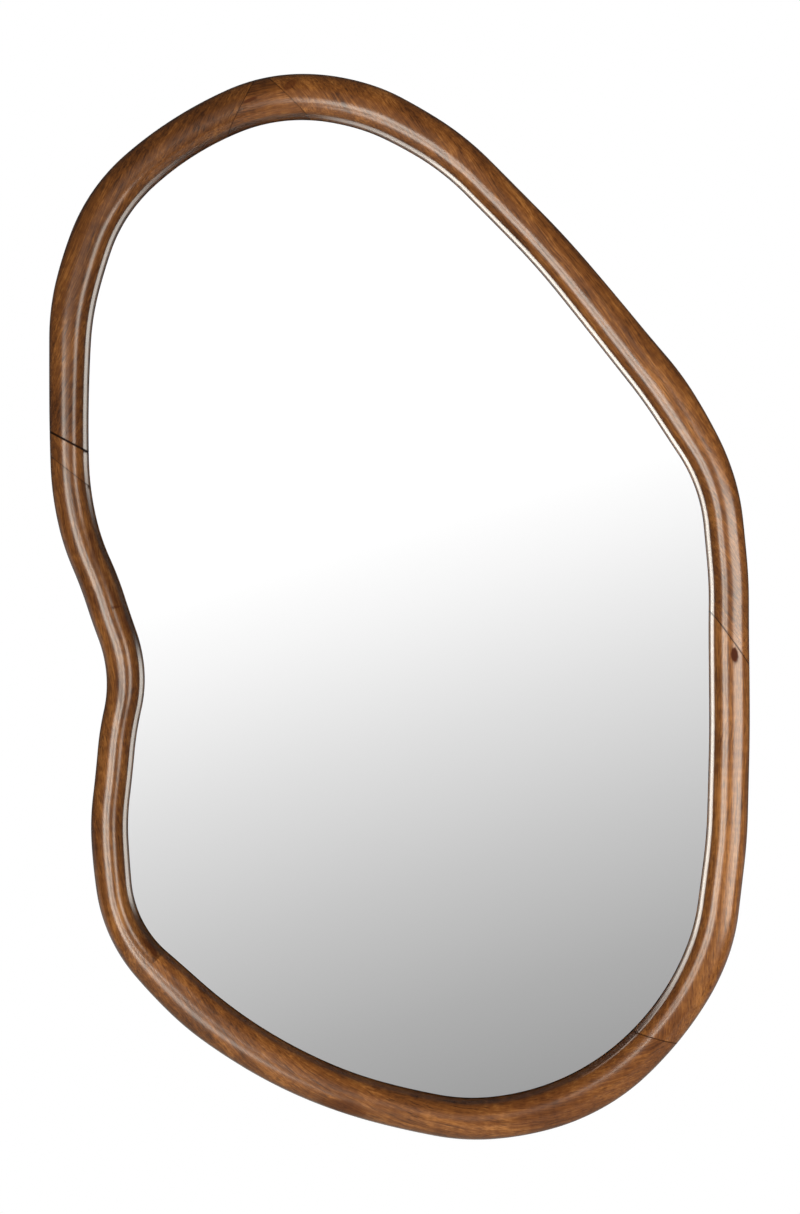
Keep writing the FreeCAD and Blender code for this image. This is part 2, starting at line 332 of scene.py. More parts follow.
class Signal:
    """Value on its way through a shader, with arithmetic that adds Math nodes."""

    def __init__(self, paint: "Paint", socket: bpy.types.NodeSocket) -> None:
        """Wrap an output socket of a node."""
        self.paint = paint
        self.socket = socket

    def __add__(self, other: Value) -> "Signal":
        """Return the sum."""
        return self.paint.math("ADD", self, other)

    __radd__ = __add__

    def __sub__(self, other: Value) -> "Signal":
        """Return the difference."""
        return self.paint.math("SUBTRACT", self, other)

    def __rsub__(self, other: Value) -> "Signal":
        """Return the difference from a number."""
        return self.paint.math("SUBTRACT", other, self)

    def __mul__(self, other: Value) -> "Signal":
        """Return the product."""
        return self.paint.math("MULTIPLY", self, other)

    __rmul__ = __mul__

    def __truediv__(self, other: Value) -> "Signal":
        """Return the quotient."""
        return self.paint.math("DIVIDE", self, other)

    def __rtruediv__(self, other: Value) -> "Signal":
        """Return a number divided by this value."""
        return self.paint.math("DIVIDE", other, self)

    def __pow__(self, other: Value) -> "Signal":
        """Return the power."""
        return self.paint.math("POWER", self, other)

    def __abs__(self) -> "Signal":
        """Return the size without its sign."""
        return self.paint.math("ABSOLUTE", self)

    def at_least(self, other: Value) -> "Signal":
        """Return the larger of two values."""
        return self.paint.math("MAXIMUM", self, other)

    def at_most(self, other: Value) -> "Signal":
        """Return the smaller of two values."""
        return self.paint.math("MINIMUM", self, other)

    def rise(self, low: float, high: float) -> "Signal":
        """Return a smooth step between two values, in either order.

        Args:
            low: Value at which the step starts, at 0.
            high: Value at which it ends, at 1.

        Returns:
            The step, from 0 to 1.
        """
        if low < high:
            bounds = {"From Min": low, "From Max": high, "To Min": 0.0, "To Max": 1.0}
        else:
            bounds = {"From Min": high, "From Max": low, "To Min": 1.0, "To Max": 0.0}
        sockets = {"Value": self, **bounds}
        return self.paint.node("ShaderNodeMapRange", {"interpolation_type": "SMOOTHSTEP"}, sockets)


class Paint:
    """Node tree of one finish or of the world."""

    def __init__(self, tree: bpy.types.NodeTree) -> None:
        """Clear a node tree for the nodes that follow."""
        self.tree = tree
        tree.nodes.clear()

    def node(
        self,
        kind: str,
        settings: Optional[dict[str, Any]] = None,
        sockets: Optional[dict[Any, Any]] = None,
        output: Any = 0,
    ) -> Signal:
        """Add a node.

        Args:
            kind: Type of the node.
            settings: Its properties, or the stops of its ramp, which are set first.
            sockets: Numbers, colours or signals for its input sockets, by name or number.
            output: Output socket that is wanted, by name or number.

        Returns:
            The wanted output.
        """
        made = self.tree.nodes.new(kind)
        for name, setting in (settings or {}).items():
            if name == "stops":
                self._set_stops(made.color_ramp, setting)
            else:
                setattr(made, name, setting)
        for key, value in (sockets or {}).items():
            if isinstance(value, Signal):
                self.tree.links.new(value.socket, made.inputs[key])
            else:
                made.inputs[key].default_value = value
        return Signal(self, made.outputs[output] if len(made.outputs) else None)

    @staticmethod
    def _set_stops(ramp: bpy.types.ColorRamp, stops: Sequence[tuple[float, Any]]) -> None:
        """Give a ramp its stops.

        Args:
            ramp: The ramp, with two stops of its own.
            stops: A position and a colour for each stop.
        """
        while len(ramp.elements) < len(stops):
            ramp.elements.new(1.0)
        for element, (position, colour) in zip(ramp.elements, stops):
            element.position = position
            element.color = colour

    def math(self, operation: str, first: Value, second: Optional[Value] = None) -> Signal:
        """Return the result of a Math node on one value or two."""
        sockets = {0: first} if second is None else {0: first, 1: second}
        return self.node("ShaderNodeMath", {"operation": operation}, sockets)

    def vector(self, operation: str, first: Any, second: Any, output: str = "Vector") -> Signal:
        """Return the result of a Vector Math node on two vectors."""
        settings = {"operation": operation}
        return self.node("ShaderNodeVectorMath", settings, {0: first, 1: second}, output)

    def mix(self, factor: Value, first: Any, second: Any) -> Signal:
        """Return a colour between two colours, by a factor."""
        return self.node("ShaderNodeMix", {"data_type": "RGBA"}, {0: factor, 6: first, 7: second}, 2)

    def place(self) -> Signal:
        """Return the place on the piece, in metres."""
        return self.node("ShaderNodeTexCoord", output="Object")

    def parts(self, vector: Signal) -> tuple[Signal, Signal, Signal]:
        """Return the three parts of a vector."""
        made = self.node("ShaderNodeSeparateXYZ", sockets={0: vector}).socket.node
        return tuple(Signal(self, socket) for socket in made.outputs)

    def ray(self, output: str) -> Signal:
        """Return what Light Path says of the ray that arrives, by the name of its output."""
        return self.node("ShaderNodeLightPath", output=output)

    def noise(
        self, place: Signal, waves: Sequence[float], detail: float = 2.0, rough: float = 0.5
    ) -> Signal:
        """Add soft noise.

        Args:
            place: Where the noise is read.
            waves: Waves per metre along each axis.
            detail: Number of finer layers.
            rough: Strength of the finer layers.

        Returns:
            The noise, from 0 to 1.
        """
        scaled = self.vector("MULTIPLY", place, waves)
        sockets = {"Vector": scaled, "Scale": 1.0, "Detail": detail, "Roughness": rough}
        return self.node("ShaderNodeTexNoise", sockets=sockets)

    def bump(self, height: Value, depth: float, strength: float) -> Signal:
        """Return normals bumped by a height, whose full depth is in millimetres."""
        sockets = {"Height": height, "Distance": depth * MM, "Strength": strength}
        return self.node("ShaderNodeBump", sockets=sockets)

    def surface(self, sockets: dict[str, Any]) -> None:
        """Close a material's tree with a surface shader and its output."""
        shader = self.node("ShaderNodeBsdfPrincipled", sockets=sockets)
        self.node("ShaderNodeOutputMaterial", sockets={"Surface": shader})


def new_paint(name: str) -> tuple[bpy.types.Material, Paint]:
    """Add a material.

    Args:
        name: Name of the material.

    Returns:
        The new material and its empty node tree.
    """
    material = bpy.data.materials.new(name)
    material.use_nodes = True
    return material, Paint(material.node_tree)


class Finish:
    """Surface of a piece, written as the nodes of a material."""

    name: str

    def coat(self, paint: Paint) -> None:
        """Add the finish to an empty node tree.

        Args:
            paint: Node tree of the finish.
        """
        raise NotImplementedError

    def material(self) -> bpy.types.Material:
        """Mix the finish.

        Returns:
            The finish as a new material.
        """
        material, paint = new_paint(self.name)
        self.coat(paint)
        return material


@dataclass(frozen=True)
class Spot:
    """Dark oval in the plane of the face: a mark in the wood, or a patch of painted shade."""

    across: float
    up: float
    length: float
    width: float
    lean: float
    depth: float


@dataclass(frozen=True)
class GlueLine:
    """Line that a joint leaves, with its fade and rims as shares of its reach and width."""

    place: Vector
    normal: Vector
    width: float
    depth: float
    reach: float = 60.0
    fade: float = 0.8
    rims: tuple[float, float] = (0.75, 0.3)


# Noise swings about this value.
NOISE_MIDDLE = 0.5


@dataclass(frozen=True)
class Layer:
    """One layer of the wood's figure, in waves per metre along and across the grain."""

    along: float
    across: float
    detail: float = 2.0
    rough: float = 0.5
    weight: float = 1.0

    def noise(self, paint: Paint, place: Signal) -> Signal:
        """Return the layer's noise at a place whose x runs along the grain."""
        return paint.noise(place, (self.along, self.across, self.across), self.detail, self.rough)

    def swing(self, paint: Paint, place: Signal) -> Signal:
        """Return the layer's noise about zero, by its weight."""
        return (self.noise(paint, place) - NOISE_MIDDLE) * self.weight


FIBRE = Layer(along=24.0, across=620.0, detail=5.0, rough=0.65, weight=0.85)
FINE = Layer(along=110.0, across=1500.0, detail=3.0, rough=0.6, weight=0.8)
CLOUD = Layer(along=13.0, across=26.0, detail=3.0, rough=0.55, weight=0.9)
FLECK = Layer(along=150.0, across=70.0, weight=0.35)
PORES = Layer(along=45.0, across=640.0)
RAGGED = Layer(along=90.0, across=220.0, detail=3.0, weight=0.8)


@dataclass(frozen=True)
class VarnishedWood(Finish):
    """Open-grained brown wood under a satin varnish, its grain along a line or round a bend."""

    name: str
    grain: float
    seed: float
    tone_and_shade: float = 1.0
    spots: tuple[Spot, ...] = ()
    bend: Optional[tuple[float, float]] = None
    glue_lines: tuple[GlueLine, ...] = ()
    dark: tuple[float, ...] = srgb(70, 37, 11)
    middle: tuple[float, ...] = srgb(119, 71, 29)
    pale: tuple[float, ...] = srgb(168, 112, 56)
    # Dark stain colour: real in the pores and at the joints, painted shade on the flanks.
    stain_and_shade: tuple[float, ...] = srgb(34, 17, 7)
    # Dark colour of the knots, and of the patches of painted shade.
    knot_and_shade_tone: tuple[float, ...] = srgb(72, 35, 18)
    tone_stops: tuple[float, float, float] = (0.12, 0.5, 0.88)
    seed_shift: tuple[float, float, float] = (1.0, 0.37, 1.9)
    pore_stain: float = 0.5
    pore_edge: tuple[float, float] = (0.56, 0.68)
    pore_relief: float = 0.6
    fibre_relief: float = 0.4
    # Strength and turn of the painted shade that darkens the flanks.
    flank_shade: float = 0.62
    flank_shade_turn: tuple[float, float] = (0.8, 0.12)
    crest_turn: tuple[float, float] = (0.4, 0.8)
    spot_edge: tuple[float, float] = (1.15, 0.7)
    bend_radius: float = 340.0
    sway_waves: float = 9.0
    sway_reach: tuple[float, float, float] = (0.0, 0.01, 0.016)
    pith_depth: float = 0.05
    ring_flatness: float = 0.8
    ring_waves: float = 170.0
    ring_weight: float = 0.5
    varnish_end: float = -22.2
    varnish_fade: float = 2.0
    varnish_loss: float = 0.85
    inward_fade: tuple[float, float] = (0.0, 0.02)

    def coat(self, paint: Paint) -> None:
        """Add the finish to an empty node tree.

        Args:
            paint: Node tree of the finish.
        """
        place = paint.place()
        along = self._along(paint, place)
        tone, pores, fine = self._figure(paint, along)
        stops = list(zip(self.tone_stops, (self.dark, self.middle, self.pale)))
        colour = paint.node("ShaderNodeValToRGB", {"stops": stops}, {0: tone})
        colour = paint.mix(pores * self.pore_stain, colour, self.stain_and_shade)
        normal = paint.node("ShaderNodeNewGeometry", output="Normal")
        _, facing, _ = paint.parts(normal)
        # Painted shade: the flanks, which turn away from the front, are darkened towards the dark
        # stain colour to stand in for the shade that falls on them.
        flank_shade_mask = abs(facing).rise(*self.flank_shade_turn)
        colour = paint.mix(flank_shade_mask * self.flank_shade, colour, self.stain_and_shade)
        colour, opened = self._marks(paint, place, along, colour)
        crest = abs(facing).rise(*self.crest_turn)
        relief = (fine * self.fibre_relief - pores * crest * self.pore_relief) * crest
        bare = self._bare(paint, place, normal)
        paint.surface({
            "Base Color": colour,
            "Roughness": 0.42 + 0.2 * fine,
            "Specular IOR Level": 0.05,
            "Coat Weight": (1 - opened) * (1 - bare * self.varnish_loss),
            "Coat Roughness": 0.22,
            "Coat IOR": 1.6,
            "Normal": paint.bump(relief, depth=0.12, strength=0.35),
        })

    def _along(self, paint: Paint, place: Signal) -> Signal:
        """Turn a place so that the grain runs along x, with the piece's own shift.

        Args:
            paint: Node tree of the finish.
            place: Place on the piece.

        Returns:
            The turned place.
        """
        sockets = {
            "Vector": self._bent(paint, place) if self.bend else place,
            "Location": tuple(share * self.seed for share in self.seed_shift),
            "Rotation": (0.0, math.radians(self.grain), 0.0),
        }
        return paint.node("ShaderNodeMapping", sockets=sockets)

    def _bent(self, paint: Paint, place: Signal) -> Signal:
        """Lay the grain round the middle of the bend.

        Args:
            paint: Node tree of the finish.
            place: Place on the piece.

        Returns:
            The place unrolled, with x along the grain.
        """
        middle = (self.bend[0] * MM, 0.0, self.bend[1] * MM)
        across, depth, up = paint.parts(paint.vector("SUBTRACT", place, middle))
        run = paint.math("ARCTAN2", across, 0 - up) * (self.bend_radius * MM)
        reach = (across ** 2.0 + up ** 2.0) ** 0.5
        return paint.node("ShaderNodeCombineXYZ", sockets={0: run, 1: depth, 2: reach})

    def _figure(self, paint: Paint, along: Signal) -> tuple[Signal, Signal, Signal]:
        """Lay out the wood's figure.

        Args:
            paint: Node tree of the finish.
            along: Place on the piece, turned so that the grain runs along x.

        Returns:
            The tone from dark to pale, the pores and the finest fibres.
        """
        sockets = {"Vector": along, "Scale": self.sway_waves, "Detail": 2.0}
        sway = paint.node("ShaderNodeTexNoise", sockets=sockets, output="Color")
        sway = paint.vector("SUBTRACT", sway, (NOISE_MIDDLE, NOISE_MIDDLE, NOISE_MIDDLE))
        sway = paint.vector("MULTIPLY", sway, self.sway_reach)
        swayed = paint.vector("ADD", along, sway)
        _, depth, across = paint.parts(swayed)
        ring = ((depth + self.pith_depth) ** 2.0 + (across * self.ring_flatness) ** 2.0) ** 0.5
        sockets = {"W": ring, "Scale": self.ring_waves, "Detail": 3.0, "Roughness": 0.6}
        rings = paint.node("ShaderNodeTexNoise", {"noise_dimensions": "1D"}, sockets)
        fine = FINE.noise(paint, swayed)
        pores = PORES.noise(paint, swayed).rise(*self.pore_edge)
        # The piece's lightness moves the middle of its tone: partly its board's own tone, partly
        # painted shade.
        middle_tone = self.tone_stops[1] * self.tone_and_shade
        tone = (rings - NOISE_MIDDLE) * self.ring_weight + middle_tone
        tone = tone + FIBRE.swing(paint, swayed) + (fine - NOISE_MIDDLE) * FINE.weight
        tone = tone + CLOUD.swing(paint, along) + FLECK.swing(paint, swayed)
        return tone, pores, fine

    def _bare(self, paint: Paint, place: Signal, normal: Signal) -> Signal:
        """Find where the varnish runs out along the glass, which leaves a dark line.

        Args:
            paint: Node tree of the finish.
            place: Place on the piece.
            normal: Normal of the surface there.

        Returns:
            The loss of varnish, from 0 to 1.
        """
        to_middle = paint.vector("SUBTRACT", MIRROR_MIDDLE, place)
        inwards = paint.vector("DOT_PRODUCT", normal, to_middle, "Value")
        _, level, _ = paint.parts(place)
        end = self.varnish_end * MM
        low = level.rise(end, end + self.varnish_fade * MM)
        return low * inwards.rise(*self.inward_fade)

    def _marks(
        self, paint: Paint, place: Signal, along: Signal, colour: Signal
    ) -> tuple[Signal, Signal]:
        """Add the knots and streaks of this piece, its patches of painted shade, and the lines of
        its joints.

        Args:
            paint: Node tree of the finish.
            place: Place on the piece.
            along: The same, turned to the grain.
            colour: Colour of the wood without marks.

        Returns:
            The colour with its marks, and where they open the varnish.
        """
        opened = 0.0
        ragged = RAGGED.swing(paint, along)
        for spot in self.spots:
            lean = math.radians(spot.lean)
            run = Vector((math.cos(lean), 0.0, math.sin(lean))) / (spot.length * MM)
            cross = Vector((-math.sin(lean), 0.0, math.cos(lean))) / (spot.width * MM)
            away = paint.vector("SUBTRACT", place, (spot.across * MM, 0.0, spot.up * MM))
            ahead = paint.vector("DOT_PRODUCT", away, run, "Value")
            aside = paint.vector("DOT_PRODUCT", away, cross, "Value")
            apart = (ahead ** 2.0 + aside ** 2.0) ** 0.5
            inside = (apart + ragged).rise(*self.spot_edge) * spot.depth
            # Knots and streaks are the wood's own, and the patches round the lower right bend are
            # painted shade.
            colour = paint.mix(inside, colour, self.knot_and_shade_tone)
            opened = (inside + opened).at_most(1.0)
        for line in self.glue_lines:
            middle = line.place * MM
            away = paint.vector("SUBTRACT", place, middle)
            aside = abs(paint.vector("DOT_PRODUCT", away, line.normal, "Value"))
            apart = paint.vector("DISTANCE", place, middle, "Value")
            near = apart.rise(line.reach * MM, line.fade * line.reach * MM)
            rim, core = (share * line.width * MM for share in line.rims)
            inside = aside.rise(rim, core) * near * line.depth
            colour = paint.mix(inside, colour, self.stain_and_shade)
            opened = (inside + opened).at_most(1.0)
        return colour, opened


@dataclass(frozen=True)
class DowelWood(Finish):
    """Plain pale hardwood with fine fibres."""

    name: str = "dowel_wood"
    dark: tuple[float, ...] = srgb(178, 140, 98)
    pale: tuple[float, ...] = srgb(214, 182, 138)

    def coat(self, paint: Paint) -> None:
        """Add the finish to an empty node tree.

        Args:
            paint: Node tree of the finish.
        """
        fibre = paint.noise(paint.place(), waves=(500.0, 500.0, 160.0), detail=4.0, rough=0.6)
        paint.surface({
            "Base Color": paint.mix(fibre.rise(0.3, 0.7), self.dark, self.pale),
            "Roughness": 0.6 + 0.2 * fibre,
            "Normal": paint.bump(fibre, depth=0.1, strength=0.3),
        })


@dataclass(frozen=True)
class ClearGlass(Finish):
    """Clear float glass with a ground edge, which is a trace green."""

    name: str = "clear_glass"
    tint: tuple[float, ...] = srgb(255, 255, 255)
    ground_tint: tuple[float, ...] = srgb(196, 222, 210)

    def coat(self, paint: Paint) -> None:
        """Add the finish to an empty node tree.

        Args:
            paint: Node tree of the finish.
        """
        _, facing, _ = paint.parts(paint.node("ShaderNodeNewGeometry", output="Normal"))
        edge = abs(facing).rise(0.9, 0.6)
        paint.surface({
            "Base Color": paint.mix(edge, self.tint, self.ground_tint),
            "Roughness": edge * 0.45,
            "Transmission Weight": 1.0,
            "IOR": 1.52,
        })


@dataclass(frozen=True)
class Silvering(Finish):
    """Silver film, bright towards the glass and painted behind."""

    name: str = "silvering"
    silver: tuple[float, ...] = srgb(253, 253, 253)
    paint_tone: tuple[float, ...] = srgb(96, 104, 112)
    paint_grit: tuple[float, ...] = srgb(60, 66, 72)

    def coat(self, paint: Paint) -> None:
        """Add the finish to an empty node tree.

        Args:
            paint: Node tree of the finish.
        """
        _, facing, _ = paint.parts(paint.node("ShaderNodeNewGeometry", output="Normal"))
        bright = facing.rise(-0.7, -0.9)
        grit = paint.noise(paint.place(), waves=(700.0, 700.0, 700.0))
        painted = paint.mix(grit * 0.3, self.paint_tone, self.paint_grit)
        paint.surface({
            "Base Color": paint.mix(bright, painted, self.silver),
            "Metallic": bright,
            "Roughness": (1 - bright) * 0.55,
        })


@dataclass(frozen=True)
class Foam(Finish):
    """Thin closed-cell foam sheet."""

    name: str = "foam"
    tone: tuple[float, ...] = srgb(226, 226, 222)
    cell_tone: tuple[float, ...] = srgb(186, 186, 182)

    def coat(self, paint: Paint) -> None:
        """Add the finish to an empty node tree.

        Args:
            paint: Node tree of the finish.
        """
        sockets = {"Vector": paint.place(), "Scale": 650.0}
        cells = paint.node("ShaderNodeTexVoronoi", sockets=sockets)
        paint.surface({
            "Base Color": paint.mix(cells * 0.3, self.tone, self.cell_tone),
            "Roughness": 0.85,
            "Normal": paint.bump(cells, depth=0.2, strength=0.4),
        })


@dataclass(frozen=True)
class Hardboard(Finish):
    """Brown pressed fibreboard with scattered darker and paler fibres."""

    name: str = "hardboard"
    tone: tuple[float, ...] = srgb(158, 118, 78)
    dark: tuple[float, ...] = srgb(110, 77, 47)
    pale: tuple[float, ...] = srgb(192, 154, 110)

    def coat(self, paint: Paint) -> None:
        """Add the finish to an empty node tree.

        Args:
            paint: Node tree of the finish.
        """
        place = paint.place()
        cloud = paint.noise(place, waves=(14.0, 14.0, 14.0), detail=4.0, rough=0.6)
        level_fibres = paint.noise(place, waves=(160.0, 600.0, 900.0), detail=3.0, rough=0.6)
        upright_fibres = paint.noise(place, waves=(900.0, 600.0, 160.0), detail=3.0, rough=0.6)
        colour = paint.mix(cloud.rise(0.35, 0.7) * 0.2, self.tone, self.dark)
        colour = paint.mix(level_fibres.rise(0.58, 0.7) * 0.6, colour, self.pale)
        colour = paint.mix(upright_fibres.rise(0.6, 0.72) * 0.6, colour, self.dark)
        paint.surface({
            "Base Color": colour,
            "Roughness": 0.5 + 0.25 * cloud,
            "Normal": paint.bump(level_fibres - upright_fibres, depth=0.1, strength=0.4),
        })


@dataclass(frozen=True)
class PlatedSteel(Finish):
    """Plated steel, brushed or tumbled, with small scuffs."""

    name: str
    tone: tuple[float, ...]
    worn: tuple[float, ...]
    brush: tuple[float, float, float]
    roughness: float

    def coat(self, paint: Paint) -> None:
        """Add the finish to an empty node tree.

        Args:
            paint: Node tree of the finish.
        """
        place = paint.place()
        brushed = paint.noise(place, waves=self.brush, detail=3.0, rough=0.6)
        scuffs = paint.noise(place, waves=(220.0, 220.0, 220.0), detail=4.0, rough=0.65)
        scuffs = scuffs.rise(0.52, 0.72)
        paint.surface({
            "Base Color": paint.mix(scuffs * 0.6, self.tone, self.worn),
            "Metallic": 1.0,
            "Roughness": self.roughness + 0.12 * brushed + 0.15 * scuffs,
            "Normal": paint.bump(brushed, depth=0.02, strength=0.3),
        })


ZINC = PlatedSteel(
    name="zinc_plate",
    tone=srgb(196, 186, 152),
    worn=srgb(142, 136, 120),
    brush=(900.0, 900.0, 900.0),
    roughness=0.3,
)
NICKEL = PlatedSteel(
    name="nickel_plate",
    tone=srgb(205, 200, 190),
    worn=srgb(150, 146, 138),
    brush=(2400.0, 600.0, 180.0),
    roughness=0.24,
)


@dataclass(frozen=True)
class Rubber(Finish):
    """Black moulded rubber with a faint bloom."""

    name: str = "rubber"
    tone: tuple[float, ...] = srgb(34, 34, 35)
    bloom: tuple[float, ...] = srgb(62, 62, 64)

    def coat(self, paint: Paint) -> None:
        """Add the finish to an empty node tree.

        Args:
            paint: Node tree of the finish.
        """
        place = paint.place()
        cloud = paint.noise(place, waves=(240.0, 240.0, 240.0), detail=4.0, rough=0.6)
        grit = paint.noise(place, waves=(2600.0, 2600.0, 2600.0), detail=1.0)
        paint.surface({
            "Base Color": paint.mix(cloud.rise(0.4, 0.75), self.tone, self.bloom),
            "Roughness": 0.6 + 0.2 * cloud,
            "Normal": paint.bump(grit, depth=0.05, strength=0.4),
        })


def dress(piece: bpy.types.Object, finish: Finish, body: str, slot: str, *nodes: str) -> None:
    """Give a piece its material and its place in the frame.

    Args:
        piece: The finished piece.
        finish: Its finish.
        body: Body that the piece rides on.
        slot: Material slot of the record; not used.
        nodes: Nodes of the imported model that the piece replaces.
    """
    piece.data.materials.clear()
    piece.data.materials.append(finish.material())
    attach(piece, body)
    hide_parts(*nodes)
    LOG.info("%s: %d faces in place of %s", piece.name, len(piece.data.polygons), ", ".join(nodes))


def turned(arrow: Vector, angle: float) -> Vector:
    """Turn a flat arrow.

    Args:
        arrow: The arrow, in the plane of the outline.
        angle: Angle of the turn, anticlockwise, in radians.

    Returns:
        The turned arrow.
    """
    cosine = math.cos(angle)
    sine = math.sin(angle)
    return Vector((arrow.x * cosine - arrow.y * sine, arrow.x * sine + arrow.y * cosine))


def left_of(heading: Vector) -> Vector:
    """Return the direction to the left of a flat heading."""
    return Vector((-heading.y, heading.x))


def upright(flat: Vector, level: float) -> Vector:
    """Return a point of the outline at a level towards the wall."""
    return Vector((flat.x, level, flat.y))


@dataclass(frozen=True)
class Arc:
    """Arc that leaves a start on a heading and ends at the far end of a chord."""

    start: Vector
    heading: Vector
    chord: Vector

    def half_turn(self) -> float:
        """Return the angle from the heading to the chord, half of the arc's turn."""
        crossing = self.heading.x * self.chord.y - self.heading.y * self.chord.x
        return math.atan2(crossing, self.heading.dot(self.chord))

    def length(self) -> float:
        """Return the length along the arc."""
        half = self.half_turn()
        return self.chord.length * (half / math.sin(half) if abs(half) > IN_LINE else 1.0)

    def at(self, share: float) -> tuple[Vector, Vector]:
        """Find a point of the arc.

        Args:
            share: Share of the way along the arc.

        Returns:
            The point and the heading there.
        """
        half = self.half_turn()
        reach = math.sin(share * half) / math.sin(half) if abs(half) > IN_LINE else share
        point = self.start + turned(self.heading, share * half) * (self.chord.length * reach)
        return point, turned(self.heading, 2 * share * half)


class Outline:
    """Closed clockwise chain of tangent arcs, two from each point to the next."""

    SPREAD_STEPS = 40

    def __init__(self, points: Sequence[Vector]) -> None:
        """Bend the chain through its points.

        Args:
            points: Points of the outline, clockwise, in millimetres.
        """
        self.points = list(points)
        self.headings = [self._heading(index) for index in range(len(self.points))]
        self.arcs: list[Arc] = []
        for index in range(len(self.points)):
            self._add_span(index, (index + 1) % len(self.points))

    def _heading(self, index: int) -> Vector:
        """Find the heading of the chain at one of its points.

        Args:
            index: Number of the point.

        Returns:
            The heading there of the circle through the point and its neighbours.
        """
        before = self.points[index] - self.points[index - 1]
        after = self.points[(index + 1) % len(self.points)] - self.points[index]
        return (before / before.length_squared + after / after.length_squared).normalized()

    def _add_span(self, first: int, second: int) -> None:
        """Add two tangent arcs of equal reach from one point to the next.

        Args:
            first: Number of the point.
            second: Number of the next point.
        """
        start, heading = self.points[first], self.headings[first]
        end, end_heading = self.points[second], self.headings[second]
        chord = end - start
        both = chord.dot(heading + end_heading)
        bend = 2 * (1 - heading.dot(end_heading))
        reach = chord.length_squared / (both + math.sqrt(both**2 + bend * chord.length_squared))
        meeting = (start + end + (heading - end_heading) * reach) / 2
        opening = Arc(start, heading, meeting - start)
        self.arcs.append(opening)
        self.arcs.append(Arc(meeting, opening.at(1.0)[1], end - meeting))

    def at(self, position: float, outwards: float = 0.0) -> tuple[Vector, Vector]:
        """Find a point of the chain or of its parallel.

        Args:
            position: Number of the arc, with the share of the way along it as a fraction.
            outwards: Distance from the chain to the parallel, in millimetres.

        Returns:
            The point and the direction outwards from it.
        """
        number = math.floor(position)
        point, heading = self.arcs[number % len(self.arcs)].at(position - number)
        side = left_of(heading)
        return point + side * outwards, side

    def position_of(self, share: float) -> float:
        """Find a position by its share of the whole way round.

        Args:
            share: Share of the chain's length.

        Returns:
            Number of the arc, with the share of the way along it as a fraction.
        """
        lengths = [arc.length() for arc in self.arcs]
        left = share * sum(lengths)
        number = 0
        while left > lengths[number]:
            left -= lengths[number]
            number += 1
        return number + left / lengths[number]

    def walk(self, steps: int, outwards: float) -> list[Vector]:
        """Return points all round a parallel of the chain, so many to an arc."""
        return [self.at(index / steps, outwards)[0] for index in range(steps * len(self.arcs))]

    def spread(self, count: int, outwards: float) -> list[Vector]:
        """Spread points evenly along a parallel of the chain.

        Args:
            count: Number of points.
            outwards: Distance from the chain to the parallel, in millimetres.

        Returns:
            The points, the first half a distance from the start.
        """
        fine = self.walk(self.SPREAD_STEPS, outwards)
        fine.append(fine[0])
        reached = [0.0]
        for first, second in zip(fine, fine[1:]):
            reached.append(reached[-1] + (second - first).length)
        wanted = [(index + 0.5) / count * reached[-1] for index in range(count)]
        order = range(len(fine))
        return [fine[min(order, key=lambda k: abs(reached[k] - goal))] for goal in wanted]


class Course:
    """The moulding's way round the glass: its middle line and its two edges."""

    def __init__(self) -> None:
        """Bend the three outlines through the stations."""
        self.middle = Outline([Vector((across - HOOKS_ASIDE, up)) for across, up, _ in STATIONS])
        self.outer = self._edge(1)
        self.inner = self._edge(-1)

    def _edge(self, sign: int) -> Outline:
        """Bend an edge of the moulding, half its width from the middle.

        Args:
            sign: 1 for the outer edge, or -1 for the inner one.

        Returns:
            The edge.
        """
        points = []
        for point, heading, station in zip(self.middle.points, self.middle.headings, STATIONS):
            points.append(point + left_of(heading) * (sign * station[2] / 2))
        return Outline(points)


@dataclass(frozen=True)
class Seam:
    """Sawn joint of the frame: share of the middle line, slope, and the line that it shows."""

    share: float
    slope: float
    width: float
    depth: float


SEAMS = [
    Seam(0.2723, -54.0, 1.0, 0.85),
    Seam(0.4238, -15.0, 1.0, 0.8),
    Seam(0.6322, 40.0, 0.2, 0.1),
    Seam(0.819, -38.0, 0.9, 0.6),
    Seam(0.8295, -28.0, 2.0, 1.0),
    Seam(0.9793, 63.0, 0.8, 0.7),
    Seam(0.9962, -44.0, 0.8, 0.7),
]


@dataclass(frozen=True)
class Stick:
    """One sawn piece of the frame, from a seam to the next, with the grain of its board."""

    name: str
    seam: int
    grain: float
    seed: float
    tone_and_shade: float = 1.0
    spots: tuple[Spot, ...] = ()
    bend: Optional[tuple[float, float]] = None


# Middle of the bend at the lower left, in mm: the grain of the bottom piece runs round it.
BEND = (162.0, -450.0)
# The first spot here is the knot, and the last of both pieces is painted shade that darkens the wood
# and dulls its varnish round the lower right bend.
LOWER_RIGHT_SPOTS = (
    Spot(374, -305, 9, 4, 95, 1.0),
    # Painted shade round the lower right bend.
    Spot(325, -655, 85, 50, 58, 0.28),
)
BOTTOM_SPOTS = (
    Spot(-14, -754, 26, 7, -14, 0.5),
    # Painted shade round the lower right bend.
    Spot(245, -728, 130, 60, 28, 0.3),
)
LOWER_LEFT_SPOTS = (
    Spot(-207, -596, 15, 2.5, -50, 0.7),
    Spot(-268, -190, 22, 5, -68, 0.4),
    Spot(-243, -247, 42, 4, -66, 0.45),
    Spot(-263, -247, 14, 4, -66, 0.5),
    Spot(-238, -330, 26, 3, -84, 0.35),
    Spot(-241, -257, 5, 1.5, 10, 0.7),
    Spot(-282, -122, 6, 2, -55, 0.8),
)

